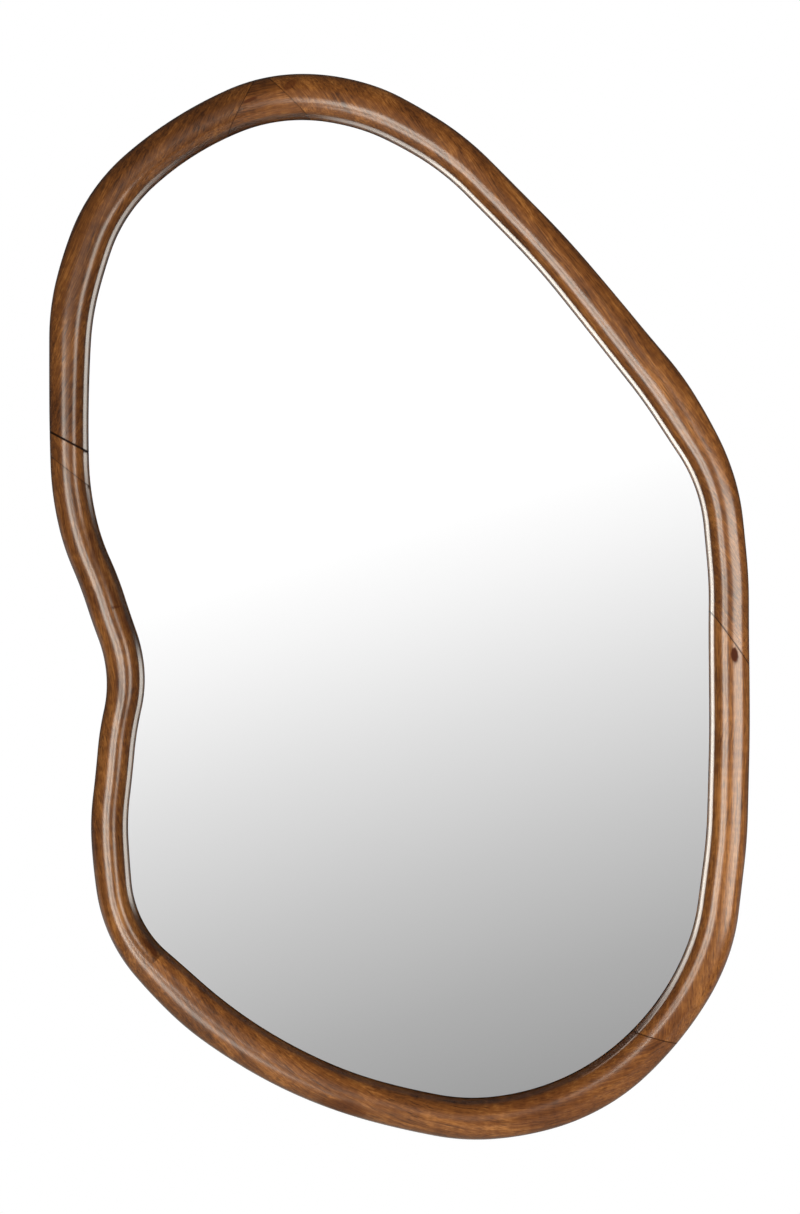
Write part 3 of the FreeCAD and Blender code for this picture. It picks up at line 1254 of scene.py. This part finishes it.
# The number after each seed is partly the tone of the piece's own board and partly painted shade:
# the top splice, the upper left and the bottom are darker to stand in for the lesser light that
# falls on the top and bottom of the frame.
STICKS = [
    Stick("lower_right", 0, 88.0, 3.1, 1.16, LOWER_RIGHT_SPOTS),
    Stick("bottom", 1, 0.0, 5.3, 0.92, BOTTOM_SPOTS, BEND),
    Stick("lower_left", 2, -80.0, 5.3, 1.02, LOWER_LEFT_SPOTS),
    Stick("left_splice", 3, -70.0, 9.2, 1.12),
    Stick("upper_left", 4, 66.0, 11.9, 0.86),
    Stick("top_splice", 5, 12.0, 13.4, 0.62, (Spot(-107, 247, 9, 2, 22, 0.8),)),
    Stick("upper_right", 6, -54.0, 15.8, 0.94, (Spot(-68, 262, 8, 4, 40, 0.7),)),
]


@dataclass
class WoodFrame:
    """Moulding of the frame and the pieces that it is sawn into."""

    course: Course
    crown: float = SHOULDER - CREST
    fullness: float = 2.1
    flank_width: float = 3.2
    flank_top: float = -27.5
    flank_steps: int = 3
    crown_steps: int = 16
    back_round: float = 2.5
    back_steps: int = 4
    arris: float = 0.5
    steps: int = 12
    spare_rows: int = 18
    saw_reach: float = 110.0
    saw_exact: float = 1e-7
    sawn_corners: int = 12
    glue_gap: float = 0.03
    seam_bevel: float = 0.25

    def section(self, position: float) -> list[Vector]:
        """Lay out the moulding's section.

        Args:
            position: Position along the outlines.

        Returns:
            The points of the section, from the lip round the front.
        """
        inner, inner_side = self.course.inner.at(position)
        outer, outer_side = self.course.outer.at(position)
        middle = (inner + outer) / 2
        half = (outer - inner) / 2

        def from_inner(distance: float, level: float) -> Vector:
            """Return a point at a distance out from the inner edge."""
            return upright(inner + inner_side * distance, level)

        points = [from_inner(self.arris, GLASS_FRONT), from_inner(0, GLASS_FRONT - self.arris)]
        flank_rise = GLASS_FRONT - self.arris - self.flank_top
        for step in range(1, self.flank_steps):
            share = step / self.flank_steps
            level = GLASS_FRONT - self.arris - share * flank_rise
            points.append(from_inner(share * self.flank_width, level))
        run = half.length - self.flank_width
        drop = self.flank_top - CREST
        sine = drop / (flank_rise / self.flank_width * run - drop)
        low = math.asin(sine)
        for step in range(self.crown_steps):
            turn = low + (math.pi / 2 - low) * step / self.crown_steps
            reach = math.cos(turn) / math.cos(low) * run / half.length
            level = CREST + drop * (1 - math.sin(turn)) / (1 - sine)
            points.append(upright(middle - half * reach, level))
        for step in range(self.crown_steps + 1):
            turn = math.pi / 2 * step / self.crown_steps
            reach = math.sin(turn) ** (2 / self.fullness)
            lift = self.crown * abs(math.cos(turn)) ** (2 / self.fullness)
            points.append(upright(middle + half * reach, SHOULDER - lift))
        for step in range(self.back_steps + 1):
            turn = math.pi / 2 * step / self.back_steps
            distance = self.back_round * (1 - math.cos(turn))
            level = BACK - self.back_round * (1 - math.sin(turn))
            points.append(upright(outer - outer_side * distance, level))
        ledge = GLASS_LIP + BOARD_LEDGE
        rabbet = [
            (ledge + self.arris, BACK),
            (ledge, BACK - self.arris),
            (ledge, BOARD_FRONT),
            (GLASS_LIP + self.arris, BOARD_FRONT),
            (GLASS_LIP, BOARD_FRONT - self.arris),
            (GLASS_LIP, GLASS_FRONT),
        ]
        return points + [from_inner(distance, level) for distance, level in rabbet]

    def cut_plane(self, seam: Seam) -> tuple[Vector, Vector]:
        """Find the plane that a seam is sawn in.

        Args:
            seam: The seam.

        Returns:
            A point of the plane, and its normal, clockwise along the frame.
        """
        place, side = self.course.middle.at(self.course.middle.position_of(seam.share))
        heading = -left_of(side)
        along = turned(Vector((1.0, 0.0)), math.radians(seam.slope))
        normal = left_of(along)
        if normal.dot(heading) < 0:
            normal = -normal
        return upright(place, 0.0), upright(normal, 0.0)

    def saw(self, seam: Seam, ahead: bool) -> None:
        """Cut the edited piece off at a seam.

        Args:
            seam: The seam to cut at.
            ahead: Whether the wood clockwise of the seam is kept.
        """
        place, normal = self.cut_plane(seam)
        keep = normal if ahead else -normal
        reach = self.saw_reach * MM

        def is_near(face: Any) -> bool:
            """Say whether a face is near the seam, seen from the front."""
            middle = face.calc_center_median()
            return math.hypot(middle.x - place.x * MM, middle.z - place.z * MM) < reach

        Bench.pick(Elements.FACES, is_near)
        at = (place + keep * (self.glue_gap / 2)) * MM
        bpy.ops.mesh.bisect(
            plane_co=at,
            plane_no=-keep,
            use_fill=True,
            clear_outer=True,
            threshold=self.saw_exact,
        )

        def is_sawn(face: Any) -> bool:
            """Say whether a face is the sawn end."""
            across = abs(face.normal.dot(keep)) > ALIGNED
            return len(face.verts) > self.sawn_corners and across and is_near(face)

        Bench.pick(Elements.FACES, is_sawn)
        bpy.ops.mesh.region_to_loop()
        bevel = self.seam_bevel * seam.width * MM
        bpy.ops.mesh.bevel(offset=bevel, segments=1, affect="EDGES", clamp_overlap=True)

    def build_stick(self, stick: Stick) -> bpy.types.Object:
        """Shape one piece of the frame between its two seams.

        Args:
            stick: The piece to build.

        Returns:
            The finished mesh as an object.
        """
        middle = self.course.middle
        first_seam = SEAMS[stick.seam]
        last_seam = SEAMS[(stick.seam + 1) % len(SEAMS)]
        first = middle.position_of(first_seam.share)
        last = middle.position_of(last_seam.share)
        if last < first:
            last += len(middle.arcs)
        start = math.floor(first * self.steps) - self.spare_rows
        stop = math.ceil(last * self.steps) + self.spare_rows
        sections = [self.section(row / self.steps) for row in range(start, stop)]
        around = len(sections[0])
        piece = Bench.start(
            bpy.ops.mesh.primitive_torus_add,
            "wood_" + stick.name,
            major_segments=len(sections),
            minor_segments=around,
            generate_uvs=False,
        )
        Bench.lay(piece, [point for section in sections for point in section])
        with Bench.editing(piece, Elements.FACES):
            Bench.pick(Elements.FACES, lambda face: self._closes_ring(face, around))
            bpy.ops.mesh.delete(type="FACE")
            bpy.ops.mesh.select_all(action="SELECT")
            bpy.ops.mesh.normals_make_consistent(inside=False)
            self.saw(first_seam, True)
            self.saw(last_seam, False)
        Bench.settle(piece)
        return piece

    @staticmethod
    def _closes_ring(face: Any, around: int) -> bool:
        """Say whether a face joins the last section of a ring to its first."""
        rows = [point.index // around for point in face.verts]
        return max(rows) - min(rows) > 1

    def glue_line(self, seam: Seam) -> GlueLine:
        """Find the line that a seam shows on the wood beside it.

        Args:
            seam: The seam.

        Returns:
            The line, for the finish of the wood.
        """
        place, normal = self.cut_plane(seam)
        middle = Vector((place.x, (CREST + BACK) / 2, place.z))
        return GlueLine(middle, normal, seam.width, seam.depth)

    def build(self) -> list[bpy.types.Object]:
        """Build and dress every piece of the frame.

        Returns:
            The pieces.
        """
        pieces = []
        for stick in STICKS:
            piece = self.build_stick(stick)
            seams = (SEAMS[stick.seam], SEAMS[(stick.seam + 1) % len(SEAMS)])
            finish = VarnishedWood(
                name="varnished_" + stick.name,
                grain=stick.grain,
                seed=stick.seed,
                tone_and_shade=stick.tone_and_shade,
                spots=stick.spots,
                bend=stick.bend,
                glue_lines=tuple(self.glue_line(seam) for seam in seams),
            )
            dress(piece, finish, MIRROR_BODY, "frame_wood", "frame_" + stick.name)
            pieces.append(piece)
        return pieces

    def dress_dowels(self) -> None:
        """Give the dowels inside the joints their wood."""
        material = DowelWood().material()
        for name, node in frame["nodes"].items():
            if name.startswith("dowels_"):
                node.data.materials.clear()
                node.data.materials.append(material)
                LOG.info("%s: dowel wood", name)


@dataclass
class MirrorStack:
    """Glass, silvering, liner and back board, from the front to the back."""

    course: Course
    steps: int = 8
    glass_overlap: float = 7.0
    board_overlap: float = 15.5
    film_gap: float = 0.03
    glass_arris: float = 0.3
    board_arris: float = 0.4
    arris_steps: int = 2
    sheet_smooth: float = 20.0
    screw_count: int = 16
    screw_turn: float = 0.7

    def sheet(
        self, name: str, outwards: float, front: float, back: float, arris: float = 0.0
    ) -> bpy.types.Object:
        """Cut a sheet to a parallel of the moulding's inner edge.

        Args:
            name: Name of the piece.
            outwards: How far the sheet reaches under the moulding.
            front: Level of its front.
            back: Level of its back.
            arris: Width of the bevel on its rims, or 0.

        Returns:
            The finished sheet.
        """
        points = self.course.inner.walk(self.steps, outwards)
        adder = bpy.ops.mesh.primitive_circle_add
        piece = Bench.start(adder, name, vertices=len(points), fill_type="NGON")
        Bench.lay(piece, [upright(point, front) for point in points])
        with Bench.editing(piece, Elements.FACES):
            bpy.ops.mesh.select_all(action="SELECT")
            Bench.extrude(Vector((0.0, back - front, 0.0)))
            bpy.ops.mesh.select_all(action="SELECT")
            bpy.ops.mesh.normals_make_consistent(inside=False)
            if arris:
                Bench.pick(Elements.FACES, lambda face: abs(face.normal.y) > ALIGNED)
                bpy.ops.mesh.region_to_loop()
                bpy.ops.mesh.bevel(
                    offset=arris * MM, segments=self.arris_steps, affect="EDGES"
                )
        Bench.settle(piece, self.sheet_smooth)
        return piece

    def build(self) -> bpy.types.Object:
        """Build and dress the sheets and the board's screws.

        Returns:
            The silver film.
        """
        reach = self.glass_overlap
        glass_back = SILVER_FRONT - self.film_gap
        glass = self.sheet("glass_pane", reach, GLASS_FRONT, glass_back, self.glass_arris)
        dress(glass, ClearGlass(), MIRROR_BODY, "glass", "mirror_glass")
        # The varnish mirrors the silver itself, which leaves its reflections free of grain.
        glass.visible_glossy = False
        film = self.sheet("silver_film", reach, SILVER_FRONT, LINER_FRONT)
        dress(film, Silvering(), MIRROR_BODY, "silvering", "mirror_silvering")
        liner = self.sheet("foam_sheet", reach, LINER_FRONT, BOARD_FRONT)
        dress(liner, Foam(), MIRROR_BODY, "foam", "foam_liner")
        reach = self.board_overlap
        board = self.sheet("board_panel", reach, BOARD_FRONT, BOARD_BACK, self.board_arris)
        dress(board, Hardboard(), MIRROR_BODY, "board", "back_board")
        seats = self.course.inner.spread(self.screw_count, GLASS_LIP + BOARD_LEDGE / 2)
        places = []
        for index, seat in enumerate(seats):
            turn = Matrix.Rotation(self.screw_turn * index, 4, "Y")
            places.append(Matrix.Translation(upright(seat, BOARD_BACK) * MM) @ turn)
        screws = Bench.copies(BOARD_SCREW.build(), places, "board_screw_row")
        Bench.settle(screws)
        dress(screws, ZINC, MIRROR_BODY, "screw_steel", "back_board_screws")
        return film


@dataclass
class Screw:
    """Pan-head screw with a cross recess, its head towards the wall and its seat at the origin."""

    shank: float
    head: float
    rise: float
    length: float
    sides: int = 28
    tip: float = 2.5
    recess_width: float = 0.75
    recess_depth: float = 1.1
    recess_share: float = 0.52
    rim_share: float = 0.6
    rim_steps: int = 4
    tip_share: float = 0.25

    def build(self) -> bpy.types.Object:
        """Model the screw about the origin.

        Returns:
            The screw.
        """
        piece = Bench.start(
            bpy.ops.mesh.primitive_cylinder_add,
            "screw",
            vertices=self.sides,
            radius=self.head / 2 * MM,
            depth=self.rise * MM,
            rotation=(math.pi / 2, 0.0, 0.0),
            location=(0.0, self.rise / 2 * MM, 0.0),
        )
        with Bench.editing(piece, Elements.FACES):
            Bench.pick(Elements.FACES, Bench.facing(TO_WALL))
            bpy.ops.mesh.region_to_loop()
            rim = self.rise * self.rim_share * MM
            bpy.ops.mesh.bevel(offset=rim, segments=self.rim_steps, affect="EDGES")
            Bench.pick(Elements.FACES, Bench.facing(-TO_WALL))
            bpy.ops.mesh.inset(thickness=(self.head - self.shank) / 2 * MM)
            Bench.extrude(TO_WALL * (self.tip - self.length))
            Bench.extrude(TO_WALL * -self.tip)
            bpy.ops.transform.resize(value=(self.tip_share, 1.0, self.tip_share))
        recess = Vector((self.head * self.recess_share, 2 * self.recess_depth, self.recess_width))
        for turn in (0.0, math.pi / 2):
            blade = Bench.start(
                bpy.ops.mesh.primitive_cube_add,
                "recess",
                size=1.0,
                location=(0.0, self.rise * MM, 0.0),
                rotation=(0.0, turn, 0.0),
                scale=recess * MM,
            )
            Bench.cut(piece, blade)
        return piece


BOARD_SCREW = Screw(shank=3.0, head=6.0, rise=1.8, length=14.0)
HANGER_SCREW = Screw(
    shank=3.5, head=7.0, rise=2.2, length=16.0, recess_width=0.9, recess_depth=1.3
)


@dataclass
class StrapHanger:
    """Strap with a rolled eye, its D-ring and its two screws, hung on one of the ring's hinges."""

    side: Side
    strap_width: float = 14.0
    strap_length: float = 42.0
    eye_bore: float = 1.3
    eye_radius: float = 2.3
    eye_wrap: float = 290.0
    foot_round: float = 6.86
    wire: float = 2.5
    ring_half: float = 11.25
    ring_corner: float = 3.0
    ring_leg: float = 4.0
    holes: tuple[float, float] = (8.5, 35.0)
    hole: float = 4.0
    hole_sides: int = 24
    eye_steps: int = 32
    foot_steps: int = 8
    foot_near: float = 0.1
    drill_share: float = 4.0
    strap_arris: float = 0.12
    arris_steps: int = 2
    sharp_angle: float = 50.0
    wire_sides: int = 20
    corner_steps: int = 8
    bow_steps: int = 36
    ring_smooth: float = 60.0
    screw_turn: float = 0.4
    place: Matrix = field(init=False)

    def __post_init__(self) -> None:
        """Find the hanger's place from its hinge."""
        name = self.side.value + "_ring_hinge"
        hinge = next(joint for joint in frame["joints"] if joint["name"] == name)
        across = -Vector(hinge["axis"])
        along = across.cross(TO_WALL)
        turn = Matrix((across, TO_WALL, along)).transposed().to_4x4()
        self.place = Matrix.Translation(Vector(hinge["pos_m"])) @ turn

    def build_strap(self) -> bpy.types.Object:
        """Model the strap.

        Returns:
            The finished strap.
        """
        thick = self.eye_radius - self.eye_bore
        piece = Bench.start(
            bpy.ops.mesh.primitive_cube_add,
            "strap_" + self.side.value,
            size=1.0,
            location=(0.0, -(self.eye_bore + thick / 2) * MM, -self.strap_length / 2 * MM),
            scale=(self.strap_width * MM, thick * MM, self.strap_length * MM),
        )
        foot = -self.strap_length * MM

        def is_foot_corner(edge: Any) -> bool:
            """Look for a corner of the strap's foot.

            Args:
                edge: Edge of the strap.

            Returns:
                Whether it runs through the thickness at the foot.
            """
            first, second = (point.co for point in edge.verts)
            at_foot = max(abs(first.z - foot), abs(second.z - foot)) < self.foot_near * MM
            return at_foot and abs(first.y - second.y) > thick / 2 * MM

        with Bench.editing(piece, Elements.FACES):
            Bench.pick(Elements.FACES, Bench.facing(Vector((0.0, 0.0, 1.0))))
            Bench.sweep(Vector(), Vector((-1.0, 0.0, 0.0)), self.eye_wrap, self.eye_steps)
            Bench.pick(Elements.EDGES, is_foot_corner)
            bpy.ops.mesh.bevel(
                offset=self.foot_round * MM, segments=self.foot_steps, affect="EDGES"
            )
        for distance in self.holes:
            drill = Bench.start(
                bpy.ops.mesh.primitive_cylinder_add,
                "drill",
                vertices=self.hole_sides,
                radius=self.hole / 2 * MM,
                depth=self.drill_share * thick * MM,
                rotation=(math.pi / 2, 0.0, 0.0),
                location=(0.0, -self.eye_radius * MM, -distance * MM),
            )
            Bench.cut(piece, drill)
        Bench.use(
            piece,
            "BEVEL",
            width=self.strap_arris * MM,
            segments=self.arris_steps,
            limit_method="ANGLE",
            angle_limit=math.radians(self.sharp_angle),
        )
        piece.data.transform(self.place)
        Bench.settle(piece)
        return piece

    def build_ring(self) -> bpy.types.Object:
        """Bend the ring from wire, in one go from the start of its bar.

        Returns:
            The finished ring.
        """
        straight = self.ring_half - self.ring_corner
        piece = Bench.start(
            bpy.ops.mesh.primitive_circle_add,
            "ring_" + self.side.value,
            vertices=self.wire_sides,
            radius=self.wire / 2 * MM,
            rotation=(0.0, math.pi / 2, 0.0),
            location=(-straight * MM, 0.0, 0.0),
        )
        inwards = Vector((0.0, -1.0, 0.0))
        up = Vector((0.0, 0.0, 1.0))
        rise = up * (self.ring_leg - self.ring_corner)
        with Bench.editing(piece, Elements.EDGES):
            bpy.ops.mesh.select_all(action="SELECT")
            Bench.extrude(Vector((2 * straight, 0.0, 0.0)))
            Bench.sweep(Vector((straight, 0.0, self.ring_corner)), inwards, 90.0, self.corner_steps)
            Bench.extrude(rise)
            Bench.sweep(up * self.ring_leg, inwards, 180.0, self.bow_steps)
            Bench.extrude(-rise)
            Bench.sweep(Vector((-straight, 0.0, self.ring_corner)), inwards, 90.0, self.corner_steps)
        piece.data.transform(self.place)
        Bench.settle(piece, self.ring_smooth)
        return piece

    def build(self) -> None:
        """Build and dress the strap, its screws and its ring."""
        side = self.side.value
        dress(self.build_strap(), NICKEL, MIRROR_BODY, "hanger_steel", "hanger_strap_" + side)
        places = []
        for index, distance in enumerate(self.holes):
            seat = Matrix.Translation(Vector((0.0, -self.eye_bore, -distance)) * MM)
            turn = Matrix.Rotation(self.screw_turn + index, 4, "Y")
            places.append(self.place @ seat @ turn)
        screws = Bench.copies(HANGER_SCREW.build(), places, "hanger_screw_pair_" + side)
        Bench.settle(screws)
        dress(screws, ZINC, MIRROR_BODY, "screw_steel", "hanger_screws_" + side)
        dress(self.build_ring(), NICKEL, side + "_ring", "hanger_steel", "hanger_ring_" + side)


@dataclass
class Bumper:
    """Tapered rubber foot with a shallow dish, between the frame and the wall."""

    corner: str
    base: float = 12.0
    taper: float = 1.0
    rim: float = 0.9
    dish: float = 0.6
    dish_share: float = 0.8
    wall: float = 1.6
    sides: int = 40
    rim_steps: int = 4

    def build(self) -> None:
        """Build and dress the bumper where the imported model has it."""
        node = "wall_bumper_" + self.corner
        low, high = (Vector(corner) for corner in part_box(node))
        piece = Bench.start(
            bpy.ops.mesh.primitive_cone_add,
            "bumper_" + self.corner,
            vertices=self.sides,
            radius1=self.base / 2 * MM,
            radius2=(self.base / 2 - self.taper) * MM,
            depth=high.y - low.y,
            rotation=(-math.pi / 2, 0.0, 0.0),
            location=(low + high) / 2,
        )
        with Bench.editing(piece, Elements.FACES):
            Bench.pick(Elements.FACES, Bench.facing(TO_WALL))
            bpy.ops.mesh.region_to_loop()
            bpy.ops.mesh.bevel(offset=self.rim * MM, segments=self.rim_steps, affect="EDGES")
            Bench.pick(Elements.FACES, Bench.facing(TO_WALL))
            bpy.ops.mesh.inset(thickness=self.wall * MM)
            Bench.extrude(TO_WALL * -self.dish)
            bpy.ops.transform.resize(value=(self.dish_share, 1.0, self.dish_share))
        Bench.settle(piece)
        dress(piece, Rubber(), MIRROR_BODY, "rubber", node)


@dataclass(frozen=True)
class SoftBox:
    """Lamp with a flat face: its middle and size in metres, and its radiance, 1 for paper white."""

    name: str
    place: tuple[float, float, float]
    size: tuple[float, float]
    radiance: float


WOOD_BOXES = [
    SoftBox("soft_box_near_left", (-0.42, -2.6, -0.47), (0.38, 0.75), 11.5),
    SoftBox("soft_box_near_right", (1.45, -2.6, -0.25), (0.8, 1.2), 6.6),
    SoftBox("soft_box_low", (-0.9, -2.5, -1.6), (0.9, 0.8), 5.0),
]
LEFT_BOX = SoftBox("soft_box_left", (-1.2, -2.5, -0.58), (0.7, 1.55), 8.6)
RIGHT_BOX = SoftBox("soft_box_right", (2.6, -2.2, -0.4), (1.7, 1.7), 7.0)
BACK_FILL = SoftBox("back_fill", (0.3, 3.4, 0.2), (2.4, 2.4), 4.6)


@dataclass
class Studio:
    """Camera, floor, lights and the plain room that the mirror shows."""

    distance: float = 3.2
    view_middle: tuple[float, float] = (0.041648, -0.257)
    view_height: float = 1.214
    face_level: float = -0.0165
    sensor: float = 36.0
    floor_level: float = -1.5
    floor_middle: float = -0.1
    floor_size: float = 3.0
    floor_glow: float = 0.6
    floor_tone: tuple[float, ...] = srgb(236, 236, 234)
    floor_pale: tuple[float, ...] = srgb(244, 244, 243)
    lamp_colour: tuple[float, float, float] = (1.0, 0.945, 0.835)
    fall_slant: float = 0.31
    fall_foot: float = 0.1644
    fall_height: float = 0.1875
    card_greys: tuple[tuple[float, float], ...] = (
        (0.0, 0.33),
        (0.18, 0.415),
        (0.41, 0.56),
        (0.65, 0.732),
        (0.88, 0.915),
        (1.0, 1.0),
    )
    glass_share: float = 1.06
    varnish_share: float = 0.25
    left_panel: float = 4.8
    left_panel_loss: float = 1.5
    right_panel: float = 4.2
    panel_tint: tuple[float, ...] = (1.0, 0.94, 0.86, 1.0)
    panel_bounce: float = 2.0
    panel_lean: tuple[float, float] = (0.85, 0.45)
    least_ahead: float = 0.02
    dim_light: float = 0.07
    dim_gain: float = 0.4
    soft_light: float = 0.2
    soft_loss: float = 0.14
    # Each pair is where a form starts and is full, in slopes of a ray or parts of its direction.
    panel_start: tuple[float, float] = (0.42, 0.56)
    panel_end: tuple[float, float] = (1.3, 1.0)
    panel_front: tuple[float, float] = (0.0, -0.15)
    left_half: tuple[float, float] = (0.1, -0.1)
    left_edge: tuple[float, float] = (0.12, 0.3)
    left_foot: tuple[float, float] = (-0.1, -0.5)
    right_half: tuple[float, float] = (-0.1, 0.1)
    right_edge: tuple[float, float] = (0.66, 0.8)
    right_top: tuple[float, float] = (0.3, 0.05)
    window_side: tuple[float, float] = (0.42, 0.3)
    window_top: tuple[float, float] = (0.5, 0.3)
    window_front: tuple[float, float] = (0.0, -0.2)
    dim_back: tuple[float, float] = (-0.1, 0.2)
    dim_down: tuple[float, float] = (0.0, -0.3)
    soft_up: tuple[float, float] = (-0.2, 0.8)

    def camera(self) -> None:
        """Stand the camera square to the mirror, at the photograph's framing."""
        across, up = self.view_middle
        where = (across, self.face_level - self.distance, up)
        bpy.ops.object.camera_add(location=where, rotation=(math.pi / 2, 0.0, 0.0))
        camera = bpy.context.active_object
        camera.data.sensor_width = self.sensor
        camera.data.lens = self.sensor * self.distance / self.view_height
        bpy.context.scene.camera = camera

    def hang(self, box: SoftBox) -> bpy.types.Object:
        """Hang a soft box that faces the middle of the mirror.

        Args:
            box: The soft box.

        Returns:
            Its light.
        """
        place = Vector(box.place)
        turn = (Vector(MIRROR_MIDDLE) - place).to_track_quat("-Z", "Y").to_euler()
        bpy.ops.object.light_add(type="AREA", location=place, rotation=turn)
        light = bpy.context.active_object
        light.name = box.name
        light.data.shape = "RECTANGLE"
        light.data.size, light.data.size_y = box.size
        light.data.energy = box.radiance * math.pi * box.size[0] * box.size[1]
        light.data.color = self.lamp_colour
        light.visible_camera = False
        return light

    def lights(self, wood: Sequence[bpy.types.Object], film: bpy.types.Object) -> None:
        """Hang the lamps.

        Args:
            wood: Pieces of the frame, the only ones that the near boxes and the low box light.
            film: Silver film, which does not show the right box, as the left limb does not.
        """
        wood_boxes = [self.hang(box) for box in WOOD_BOXES]
        left_box = self.hang(LEFT_BOX)
        right_box = self.hang(RIGHT_BOX)
        lit = bpy.data.collections.new("lit_by_wood_boxes")
        shaded = bpy.data.collections.new("shaded_from_right_box")
        for piece in wood:
            lit.objects.link(piece)
            if Side.LEFT.value in piece.name:
                shaded.objects.link(piece)
        shaded.objects.link(film)
        for entry in shaded.collection_objects:
            entry.light_linking.link_state = "EXCLUDE"
        for box in wood_boxes:
            box.light_linking.receiver_collection = lit
        right_box.light_linking.receiver_collection = shaded
        for box in wood_boxes + [left_box, right_box]:
            box.visible_transmission = False
        self.hang(BACK_FILL).visible_glossy = False

    def floor(self) -> None:
        """Lay a pale floor well below the mirror."""
        piece = Bench.start(
            bpy.ops.mesh.primitive_plane_add,
            "floor",
            size=self.floor_size,
            location=(self.view_middle[0], self.floor_middle, self.floor_level),
        )
        material, paint = new_paint("pale_floor")
        cloud = paint.noise(paint.place(), waves=(6.0, 6.0, 6.0), detail=4.0)
        colour = paint.mix(cloud, self.floor_tone, self.floor_pale)
        matt = paint.node("ShaderNodeBsdfDiffuse", sockets={"Color": colour})
        glow = paint.node("ShaderNodeEmission", sockets={"Color": colour})
        share = paint.ray("Is Camera Ray") * self.floor_glow
        mixed = paint.node("ShaderNodeMixShader", sockets={0: share, 1: matt, 2: glow})
        paint.node("ShaderNodeOutputMaterial", sockets={"Surface": mixed})
        piece.data.materials.append(material)

    def _card(self, paint: Paint, slope_across: Signal, slope_up: Signal) -> Signal:
        """Shade the card that the mirror shows from the front, darker towards its foot.

        Args:
            paint: Node tree of the world.
            slope_across: How far a ray goes to the right for each unit ahead.
            slope_up: How far it goes up for each unit ahead.

        Returns:
            The card's grey.
        """
        fall = slope_up - slope_across * self.fall_slant + self.fall_foot
        stops = [(position, (grey, grey, grey, 1.0)) for position, grey in self.card_greys]
        card = paint.node("ShaderNodeValToRGB", {"stops": stops}, {0: fall / self.fall_height})
        return paint.node("ShaderNodeRGBToBW", sockets={0: card})

    def _panels(self, paint: Paint, slope_across: Signal, slope_up: Signal) -> Signal:
        """Stand up two white panels that only the varnish mirrors, by way of the silver.

        Args:
            paint: Node tree of the world.
            slope_across: How far a ray goes to the right for each unit ahead.
            slope_up: How far it goes up for each unit ahead.

        Returns:
            The panels' light.
        """
        again = (1 - abs(paint.ray("Glossy Depth") - self.panel_bounce)).at_least(0.0)
        aside = abs(slope_across)
        lean = aside * self.panel_lean[0] - slope_up * self.panel_lean[1]
        left = slope_across.rise(*self.left_half) * aside.rise(*self.left_edge)
        left = left * lean.rise(*self.panel_start)
        left = left * (self.left_panel - self.left_panel_loss * slope_up.rise(*self.left_foot))
        right = slope_across.rise(*self.right_half) * aside.rise(*self.right_edge)
        right = right * slope_up.rise(*self.right_top)
        return (left + right * self.right_panel) * lean.rise(*self.panel_end) * again

    def room(self) -> None:
        """Light the world: white to the camera, a shaded room to the mirror and the varnish."""
        world = bpy.data.worlds.new("room")
        bpy.context.scene.world = world
        world.use_nodes = True
        paint = Paint(world.node_tree)
        across, ahead, up = paint.parts(paint.node("ShaderNodeTexCoord", output="Generated"))
        front = (0 - ahead).at_least(self.least_ahead)
        slope_across = across / front
        slope_up = up / front
        card = self._card(paint, slope_across, slope_up)
        panels = self._panels(paint, slope_across, slope_up) * ahead.rise(*self.panel_front)
        window = abs(slope_across).rise(*self.window_side) * slope_up.rise(*self.window_top)
        window = window * ahead.rise(*self.window_front)
        behind = ahead.rise(*self.dim_back) * up.rise(*self.dim_down)
        dim = behind * self.dim_gain + self.dim_light
        # Rays that come through the glass show the card in full, and those from the varnish less.
        through = paint.ray("Transmission Depth").at_most(1.0)
        share = through * (self.glass_share - self.varnish_share) + self.varnish_share
        room = window * card * share + (1 - window) * dim + panels
        seen = (paint.ray("Is Glossy Ray") + paint.ray("Is Transmission Ray")).at_most(1.0)
        camera = paint.ray("Is Camera Ray")
        soft = self.soft_light - self.soft_loss * up.rise(*self.soft_up)
        light = camera + (1 - camera) * (seen * room + (1 - seen) * soft)
        tint = paint.mix(panels.at_most(1.0), (1.0, 1.0, 1.0, 1.0), self.panel_tint)
        background = paint.node("ShaderNodeBackground", sockets={"Color": tint, "Strength": light})
        paint.node("ShaderNodeOutputWorld", sockets={"Surface": background})

    def build(self, wood: Sequence[bpy.types.Object], film: bpy.types.Object) -> None:
        """Set up the whole studio.

        Args:
            wood: Pieces of the frame.
            film: Silver film behind the glass.
        """
        bpy.context.scene.view_settings.view_transform = "Standard"
        self.camera()
        self.lights(wood, film)
        self.floor()
        self.room()


def main() -> None:
    """Build the mirror and its studio."""
    logging.basicConfig(level=logging.INFO, format="%(name)s: %(message)s")
    course = Course()
    wood = WoodFrame(course)
    wood_pieces = wood.build()
    wood.dress_dowels()
    film = MirrorStack(course).build()
    for side in Side:
        StrapHanger(side).build()
    for corner in ("top_left", "top_right", "bottom_right", "bottom_left"):
        Bumper(corner).build()
    Studio().build(wood_pieces, film)


if __name__ == "__main__":
    main()
